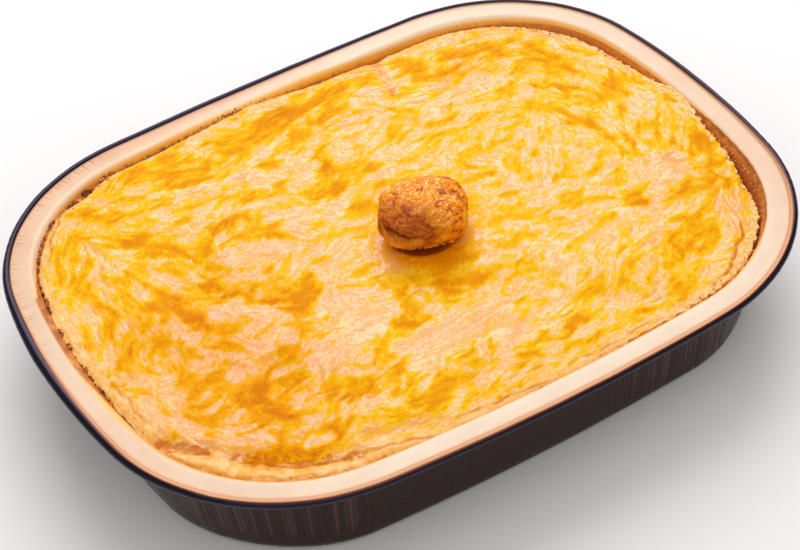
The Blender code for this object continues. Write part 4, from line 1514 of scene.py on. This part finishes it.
def rolled_foil_group():
    """Faint lines and dents of rolled foil: a height for bumps, a dullness and a scuff mask."""
    sizes = {"Line Scale": 900.0, "Dent Scale": 60.0}
    tree, given, out = new_group("rolled foil", sizes, ("Height", "Dull", "Scuff"))
    spot = given["Place"]
    rolled = put(tree, "ShaderNodeMapping", Vector=spot, Scale=(0.05, 1.0, 1.0)).outputs[0]
    lines = noise_value(tree, rolled, given["Line Scale"], detail=2.0, roughness=0.5)
    dents = noise_value(tree, spot, given["Dent Scale"], detail=2.0, roughness=0.5)
    scuff_scale = times(tree, given["Dent Scale"], 9.0)
    scuff = noise_value(tree, spot, scuff_scale, detail=4.0, roughness=0.7)
    connect(tree, out["Height"], math_node(tree, "ADD", times(tree, lines, 0.25), dents))
    connect(tree, out["Dull"], ramped(tree, dents, 0.3, 0.7))
    connect(tree, out["Scuff"], ramped(tree, scuff, 0.58, 0.72))
    return tree


BAKED_GRAIN = baked_grain_group()
ROLLED_FOIL = rolled_foil_group()


# ---------------------------------------------------------------- materials

# From dry dough to deep pools of wash, where the crust is lightly and where it is well baked.
LIGHT_TONES = (
    (0.00, linear(243, 175, 96)),
    (0.40, linear(244, 183, 70)),
    (0.50, linear(247, 200, 28)),
    (0.60, linear(245, 187, 8)),
    (0.82, linear(237, 160, 2)),
    (1.00, linear(228, 144, 2)),
)
RICH_TONES = (
    (0.00, linear(240, 164, 98)),
    (0.40, linear(241, 165, 60)),
    (0.50, linear(243, 176, 12)),
    (0.60, linear(240, 164, 2)),
    (0.82, linear(230, 145, 2)),
    (1.00, linear(216, 125, 2)),
)
WASH_LOWEST = -1.0
WASH_HIGHEST = 1.5

# The rest of the crust: pores, the dry and flaky rim, painted shade in folds and cracks, the painted
# shadow round the ball's foot and the side down in the gap.
PORE_YELLOW = linear(236, 172, 34)
DRY_DOUGH = linear(236, 170, 66)
PALE_DRY_DOUGH = linear(246, 204, 126)
FLAKE_TONES = ((0.22, linear(206, 134, 54)), (0.40, linear(240, 184, 98)), (0.60, linear(252, 218, 158)))
FOLD_SHADE = linear(192, 98, 6)
CRACK_SHADE = linear(210, 110, 8)
SHADOW_GLOW_AMBER = linear(240, 140, 2)
FOOT_SHADE = linear(120, 48, 14)
GAP_DOUGH = linear(226, 140, 62)
GAP_BROWN = linear(142, 76, 34)

BALL_TONES = (
    (0.00, linear(166, 76, 4)),
    (0.22, linear(226, 122, 4)),
    (0.48, linear(250, 152, 6)),
    (0.78, linear(252, 170, 26)),
    (1.00, linear(254, 190, 66)),
)
SHADED_SIDE_BROWN = linear(158, 60, 2)
GOLDEN_FOLD = linear(222, 126, 14)
PALE_GOLDEN_FOLD = linear(244, 176, 62)
SLIT_SHADE = linear(160, 66, 4)
SLIT_DEEP_SHADE = linear(112, 46, 8)

CRUMB_TONES = (
    (0.0, linear(104, 46, 18)),
    (0.3, linear(164, 84, 32)),
    (0.6, linear(224, 144, 70)),
    (1.0, linear(250, 214, 160)),
)

FLANGE_GOLD = linear(220, 200, 174)
SCUFFED_GOLD = linear(212, 184, 151)
INNER_HIGHLIGHT_GOLD = linear(223, 207, 186)
TAN_AND_CURL_REFLECTION_GOLD = linear(216, 171, 134)
SHOULDER_HIGHLIGHT_GOLD = linear(250, 220, 182)
AMBER_GOLD = linear(248, 190, 120)
DEEP_AMBER_GOLD = linear(254, 184, 64)
BURNT_JUICES = linear(150, 74, 20)
BAKED_JUICES = linear(238, 150, 70)
CRIMP_SHADE = linear(176, 120, 76)

BLACK_BROWN = linear(44, 24, 21)
SCUFFED_BLACK = linear(64, 40, 36)
BEAD_VIOLET = linear(37, 30, 47)
FLUTE_HIGHLIGHT = linear(96, 68, 68)
GILT_EDGE_SHADE = linear(120, 64, 34)
GILT = linear(222, 164, 118)

FLOOR_TONES = (linear(240, 239, 238), linear(245, 244, 243))


def wash_colour(tree, wash, pores):
    """Colour of the washed crust, from dry dough to deep pools, with fine pores."""
    above = math_node(tree, "SUBTRACT", wash, WASH_LOWEST)
    level = math_node(tree, "DIVIDE", above, WASH_HIGHEST - WASH_LOWEST)
    light, rich = colour_ramp(tree, level, LIGHT_TONES), colour_ramp(tree, level, RICH_TONES)
    colour = mixed(tree, kept(tree, "rich"), light, rich)
    return mixed(tree, times(tree, pores, 0.7), colour, PORE_YELLOW)


def dry_rim_colour(tree, spot, bristled, soft):
    """Colour of the unwashed rim: smooth dough, and torn flakes where its edge is torn."""
    crumb = noise_value(tree, spot, 900.0, detail=4.0, roughness=0.6)
    flaky = colour_ramp(tree, swayed(tree, crumb, bristled, 1.2), FLAKE_TONES)
    smooth = mixed(tree, ramped(tree, soft, 0.35, 0.65), DRY_DOUGH, PALE_DRY_DOUGH)
    return mixed(tree, kept(tree, "torn"), smooth, flaky)


def crust_glaze(tree, spot, drawn, wash, pores):
    """How glossy the washed crust is: its bare wrinkles shine in flakes, its pools stay quiet."""
    brushed_glints = noise_value(tree, drawn, 760.0, detail=4.0, roughness=0.7)
    broken_glints = noise_value(tree, spot, 620.0, detail=4.0, roughness=0.7, distortion=0.6)
    glints = ramped(tree, math_node(tree, "ADD", brushed_glints, broken_glints), 0.88, 1.16, 0.15, 1.25)
    flakes = times(tree, ramped(tree, wash, -0.07, 0.06, 0.66, 0.0), glints)
    glaze = math_node(tree, "ADD", ramped(tree, wash, -0.40, 0.50, 0.14, 0.0), flakes)
    glaze = times(tree, glaze, raised(tree, 1.0, kept(tree, "rich"), -0.2))
    return times(tree, glaze, raised(tree, 1.0, pores, -0.7))


def washed_crust():
    """Egg-washed crust: pale dough, yellow brush marks and orange pools under a glaze, with painted
    shade in its folds and cracks and a painted shadow round the ball.
    """
    made, tree, shader = new_material("egg_washed_crust", roughness=0.42, specular=0.02)
    shader.inputs["Coat Roughness"].default_value = 0.14
    shader.inputs["Coat IOR"].default_value = 1.9
    spot = place(tree)
    grain = use_group(
        tree, BAKED_GRAIN, Place=spot, Grain_Scale=1100.0, Pore_Scale=900.0, Pore_Size=0.42
    )
    along = times(tree, kept(tree, "along"), 0.35)
    drawn = put(tree, "ShaderNodeCombineXYZ", X=along, Y=kept(tree, "across")).outputs[0]
    bristled = noise_value(tree, drawn, 520.0, detail=4.0, roughness=0.6, distortion=0.6)
    dragged = noise_value(tree, drawn, 210.0, detail=3.0, roughness=0.6, distortion=1.0)
    specks = noise_value(tree, spot, 1500.0, detail=2.0, roughness=0.6)
    torn = noise_value(tree, spot, 420.0, detail=5.0, roughness=0.6, distortion=0.4)
    soft = noise_value(tree, spot, 190.0, detail=3.0, roughness=0.6, distortion=0.5)
    wash = kept(tree, "wash")
    for uneven, amount in ((bristled, 1.3), (dragged, 1.2), (torn, 1.3), (soft, 0.6), (specks, 1.2)):
        wash = swayed(tree, wash, uneven, amount)
    pores = times(tree, grain["Pores"], ramped(tree, grain["Blotch"], 0.42, 0.58, 0.15, 0.85))
    rim = ramped(tree, swayed(tree, kept(tree, "rim"), torn, 0.8), 0.15, 0.9)
    # Painted shade in the folds of the crust.
    fold_shade = ramped(tree, swayed(tree, kept(tree, "fold"), torn, 1.1), 0.55, 0.95, 0.0, 0.8)
    # Painted shadow of the ball on the crust, read from its points.
    ball_shadow = kept(tree, "ball_shadow")
    shadow_glow = times(tree, ramped(tree, ball_shadow, 0.0, 0.45), ramped(tree, torn, 0.36, 0.6, 0.3, 1.0))

    colour = mixed(tree, rim, wash_colour(tree, wash, pores), dry_rim_colour(tree, spot, bristled, soft))
    colour = mixed(tree, fold_shade, colour, FOLD_SHADE)
    # Painted shade down the rim's cracks.
    colour = mixed(tree, times(tree, kept(tree, "crack"), 0.85), colour, CRACK_SHADE)
    # Painted shadow of the ball: an orange glow, then dark shade close round its foot.
    colour = mixed(tree, shadow_glow, colour, SHADOW_GLOW_AMBER)
    colour = mixed(tree, ramped(tree, ball_shadow, 0.4, 0.95, 0.0, 0.9), colour, FOOT_SHADE)
    gap = mixed(tree, ramped(tree, soft, 0.42, 0.66), GAP_DOUGH, GAP_BROWN)
    connect(tree, shader.inputs["Base Color"], mixed(tree, kept(tree, "side"), colour, gap))

    dry = times(tree, rim, raised(tree, 0.4, kept(tree, "torn"), 0.5))
    sunk = math_node(tree, "MAXIMUM", fold_shade, times(tree, kept(tree, "crack"), 0.8))
    glaze = crust_glaze(tree, spot, drawn, wash, pores)
    for unglazed in (dry, sunk, shadow_glow):
        glaze = times(tree, glaze, rest_of(tree, unglazed))
    connect(tree, shader.inputs["Coat Weight"], glaze)
    add_bump(tree, shader, grain["Height"], strength=0.35, distance=0.0003)
    return made


def browned_pastry():
    """Well browned, pebbly pastry with glints on its pebbles, a golden fold, a slit darkened with
    painted shade, and painted shade on its side away from the window.
    """
    made, tree, shader = new_material("browned_pastry", roughness=0.5, specular=0.12)
    shader.inputs["Coat Roughness"].default_value = 0.2
    shader.inputs["Coat IOR"].default_value = 1.75
    spot = place(tree)
    grain = use_group(
        tree, BAKED_GRAIN, Place=spot, Grain_Scale=900.0, Pore_Scale=700.0, Pore_Size=0.3
    )
    patchy = noise_value(tree, spot, 210.0, detail=5.0, roughness=0.65, distortion=0.5)
    speckled = noise_value(tree, spot, 800.0, detail=3.0, roughness=0.6)
    between_pebbles = math_node(tree, "SUBTRACT", 0.3, kept(tree, "pebbles"))
    tone = swayed(tree, swayed(tree, 0.55, patchy, 1.9), speckled, 1.3)
    tone = raised(tree, tone, kept(tree, "coarse"), 0.35)
    tone = raised(tree, tone, between_pebbles, 0.5)
    # Painted shade on the ball's side away from the window.
    shaded_side = times(tree, kept(tree, "shaded_side"), ramped(tree, patchy, 0.3, 0.7, 1.0, 0.6))
    cap = mixed(tree, shaded_side, colour_ramp(tree, tone, BALL_TONES), SHADED_SIDE_BROWN)
    fold = mixed(tree, ramped(tree, patchy, 0.35, 0.65), GOLDEN_FOLD, PALE_GOLDEN_FOLD)
    colour = mixed(tree, kept(tree, "browned"), fold, cap)
    shaded = times(tree, kept(tree, "shaded"), ramped(tree, patchy, 0.3, 0.7, 0.9, 0.5))
    colour = mixed(tree, shaded, colour, SLIT_SHADE)
    # Painted shade deep in the slit.
    colour = mixed(tree, ramped(tree, kept(tree, "slit"), 0.5, 1.0, 0.0, 0.8), colour, SLIT_DEEP_SHADE)
    connect(tree, shader.inputs["Base Color"], colour)
    glaze = times(tree, ramped(tree, speckled, 0.50, 0.62), kept(tree, "glazed"))
    connect(tree, shader.inputs["Coat Weight"], times(tree, glaze, rest_of(tree, shaded_side)))
    add_bump(tree, shader, grain["Height"], strength=0.5, distance=0.0005)
    return made


def crumb_pastry():
    """Baked crumbs, from burnt to cream."""
    made, tree, shader = new_material("crumb_pastry", roughness=0.6, specular=0.2)
    grain = use_group(
        tree, BAKED_GRAIN, Place=place(tree), Grain_Scale=1400.0, Pore_Scale=1500.0, Pore_Size=0.3
    )
    shade = swayed(tree, kept(tree, "shade"), grain["Blotch"], 0.6)
    connect(tree, shader.inputs["Base Color"], colour_ramp(tree, shade, CRUMB_TONES))
    add_bump(tree, shader, grain["Height"], strength=0.5, distance=0.0002)
    return made


def gold_lacquer():
    """Satin gold lacquer on foil: tan towards the bead with a painted reflection at its curled edge,
    painted highlights towards the wall, amber down the wall from baked juices with a painted
    reflection of the crust, and browned by baked juices down the wall.
    """
    made, tree, shader = new_material("gold_lacquer", metallic=0.1, specular=0.25)
    spot = place(tree)
    inset, baked = kept(tree, "inset"), kept(tree, "baked")
    foil = use_group(tree, ROLLED_FOIL, Place=spot, Line_Scale=900.0, Dent_Scale=70.0)
    gold = mixed(tree, times(tree, foil["Scuff"], 0.25), FLANGE_GOLD, SCUFFED_GOLD)
    # Paler towards the flange's inner edge: a painted highlight.
    gold = mixed(tree, ramped(tree, inset, 0.0030, 0.0066, 0.0, 0.6), gold, INNER_HIGHLIGHT_GOLD)
    # Tan by bearing, with a painted reflection where the outer edge curls into the bead.
    gold = mixed(tree, kept(tree, "tan_and_curl_reflection"), gold, TAN_AND_CURL_REFLECTION_GOLD)
    # Painted highlight along the shoulder, where the flange rounds down into the wall.
    shoulder = times(tree, rest_of(tree, baked), ramped(tree, inset, 0.0064, 0.0082))
    gold = mixed(tree, shoulder, gold, SHOULDER_HIGHLIGHT_GOLD)

    uneven = noise_value(tree, spot, 300.0, detail=5.0, roughness=0.65)
    drop = swayed(tree, kept(tree, "stain_and_reflection"), uneven, 0.0008)
    # Amber down the wall: baked juices with a painted reflection of the orange crust.
    amber = mixed(tree, ramped(tree, drop, 0.0006, 0.0018), AMBER_GOLD, DEEP_AMBER_GOLD)
    stain_and_reflection = times(tree, ramped(tree, inset, 0.0060, 0.0070), ramped(tree, drop, 0.0001, 0.0007))
    gold = mixed(tree, stain_and_reflection, gold, amber)
    deeper = ramped(tree, raised(tree, drop, uneven, 0.006), 0.0030, 0.0065)
    juices = mixed(tree, deeper, BURNT_JUICES, BAKED_JUICES)
    browned = ramped(tree, raised(tree, drop, baked, 0.0043), 0.0046, 0.0050)
    browned = times(tree, browned, ramped(tree, inset, 0.0062, 0.0074, 0.0, 0.92))
    gold = mixed(tree, browned, gold, juices)
    gold = mixed(tree, ramped(tree, kept(tree, "crimp"), 0.2, 0.9, 0.0, 0.5), gold, CRIMP_SHADE)
    connect(tree, shader.inputs["Base Color"], gold)
    connect(tree, shader.inputs["Roughness"], ramped(tree, foil["Dull"], 0.0, 1.0, 0.34, 0.44))
    add_bump(tree, shader, foil["Height"], strength=0.2, distance=0.0004)
    return made


def black_lacquer():
    """Black-brown lacquer on foil with a painted highlight along the flutes, and a gilt line edged
    with painted shade and bare metal on the bead."""
    made, tree, shader = new_material("black_lacquer", specular=0.2)
    shader.inputs["Coat Roughness"].default_value = 0.08
    foil = use_group(tree, ROLLED_FOIL, Place=place(tree), Line_Scale=700.0, Dent_Scale=90.0)
    on_bead = ramped(tree, kept(tree, "drop"), 0.0022, 0.0014)
    gilt = kept(tree, "gilt")
    black = mixed(tree, foil["Scuff"], BLACK_BROWN, SCUFFED_BLACK)
    black = mixed(tree, on_bead, black, BEAD_VIOLET)
    # Painted highlight along the flutes.
    black = mixed(tree, ramped(tree, kept(tree, "crimp"), 0.3, 1.0, 0.0, 0.7), black, FLUTE_HIGHLIGHT)
    # Painted shade along the line where the gilt meets the black on the bead.
    black = mixed(tree, ramped(tree, gilt, 0.0, 0.5), black, GILT_EDGE_SHADE)
    connect(tree, shader.inputs["Base Color"], mixed(tree, ramped(tree, gilt, 0.5, 1.0), black, GILT))
    dull = raised(tree, ramped(tree, foil["Dull"], 0.0, 1.0, 0.18, 0.30), gilt, 0.2)
    connect(tree, shader.inputs["Roughness"], raised(tree, dull, on_bead, -0.06))
    bare_metal = times(tree, on_bead, math_node(tree, "SUBTRACT", 1.0, gilt, clamp=True))
    connect(tree, shader.inputs["Metallic"], times(tree, bare_metal, 0.85))
    connect(tree, shader.inputs["Coat Weight"], times(tree, bare_metal, 0.15))
    add_bump(tree, shader, foil["Height"], strength=0.25, distance=0.0004)
    return made


def floor_paint():
    """Plain pale paint, hardly uneven."""
    made, tree, shader = new_material("floor_paint", roughness=0.7, specular=0.2)
    uneven = noise_value(tree, place(tree), 3.0)
    connect(tree, shader.inputs["Base Color"], mixed(tree, uneven, *FLOOR_TONES))
    return made


# ---------------------------------------------------------------- stage


def camera_axes():
    """The camera's right, up and backward directions."""
    azimuth, elevation = CAMERA_AZIMUTH, CAMERA_ELEVATION
    back = Vector((
        math.sin(azimuth) * math.cos(elevation),
        -math.cos(azimuth) * math.cos(elevation),
        math.sin(elevation),
    ))
    right = Vector((math.cos(azimuth), math.sin(azimuth), 0.0))
    up = back.cross(right)
    turn = Matrix.Rotation(CAMERA_ROLL, 3, back)
    return turn @ right, turn @ up, back


def add_camera():
    """The camera that sees the pie as the photograph does."""
    right, up, back = camera_axes()
    data = bpy.data.cameras.new("camera")
    data.lens = CAMERA_LENS
    data.sensor_width = 36.0
    data.clip_start = 0.01
    camera = bpy.data.objects.new("camera", data)
    stand = Matrix.Translation(Vector(CAMERA_TARGET) + CAMERA_DISTANCE * back)
    camera.matrix_world = stand @ Matrix((right, up, back)).transposed().to_4x4()
    bpy.context.scene.collection.objects.link(camera)
    bpy.context.scene.camera = camera


def add_floor():
    """A plain pale floor, far wider than the view."""
    half = FLOOR_HALF_SIZE
    corners = [(-half, -half, 0.0), (half, -half, 0.0), (half, half, 0.0), (-half, half, 0.0)]
    mesh = bpy.data.meshes.new("floor")
    mesh.from_pydata(corners, [], [(0, 1, 2, 3)])
    mesh.materials.append(floor_paint())
    floor = bpy.data.objects.new("floor", mesh)
    bpy.context.scene.collection.objects.link(floor)


def add_soft_light(name, azimuth, elevation, distance, size, brightness, colour):
    """A wide studio light that faces the pie; brightness is what its face shows."""
    azimuth, elevation = math.radians(azimuth), math.radians(elevation)
    way = Vector((
        math.sin(azimuth) * math.cos(elevation),
        math.cos(azimuth) * math.cos(elevation),
        math.sin(elevation),
    ))
    data = bpy.data.lights.new(name, "AREA")
    data.shape = "RECTANGLE"
    data.size, data.size_y = size
    data.energy = brightness * math.pi * size[0] * size[1]
    data.color = colour
    light = bpy.data.objects.new(name, data)
    facing = way.to_track_quat("Z", "Y").to_matrix().to_4x4()
    light.matrix_world = Matrix.Translation(way * distance) @ facing
    bpy.context.scene.collection.objects.link(light)


def add_lights():
    """A soft room, a large window behind the pie and a weaker fill from the front."""
    world = bpy.data.worlds.new("soft_room")
    world.use_nodes = True
    room = world.node_tree.nodes["Background"]
    room.inputs["Color"].default_value = (1.0, 0.98, 0.96, 1.0)
    room.inputs["Strength"].default_value = 0.40
    bpy.context.scene.world = world
    add_soft_light(
        "window", azimuth=29, elevation=48, distance=1.5,
        size=(1.25, 1.6), brightness=3.0, colour=(1.0, 0.95, 1.0),
    )
    add_soft_light(
        "front_fill", azimuth=200, elevation=56, distance=2.2,
        size=(3.0, 3.0), brightness=0.80, colour=(1.0, 0.98, 0.94),
    )
    bpy.context.scene.view_settings.view_transform = "Standard"


def main():
    """Sets up the view and lays the pie, its tray, its ball and its crumbs."""
    add_camera()
    add_floor()
    add_lights()
    build_tray()
    build_pie()
    build_ball()
    scatter_crumbs()


main()
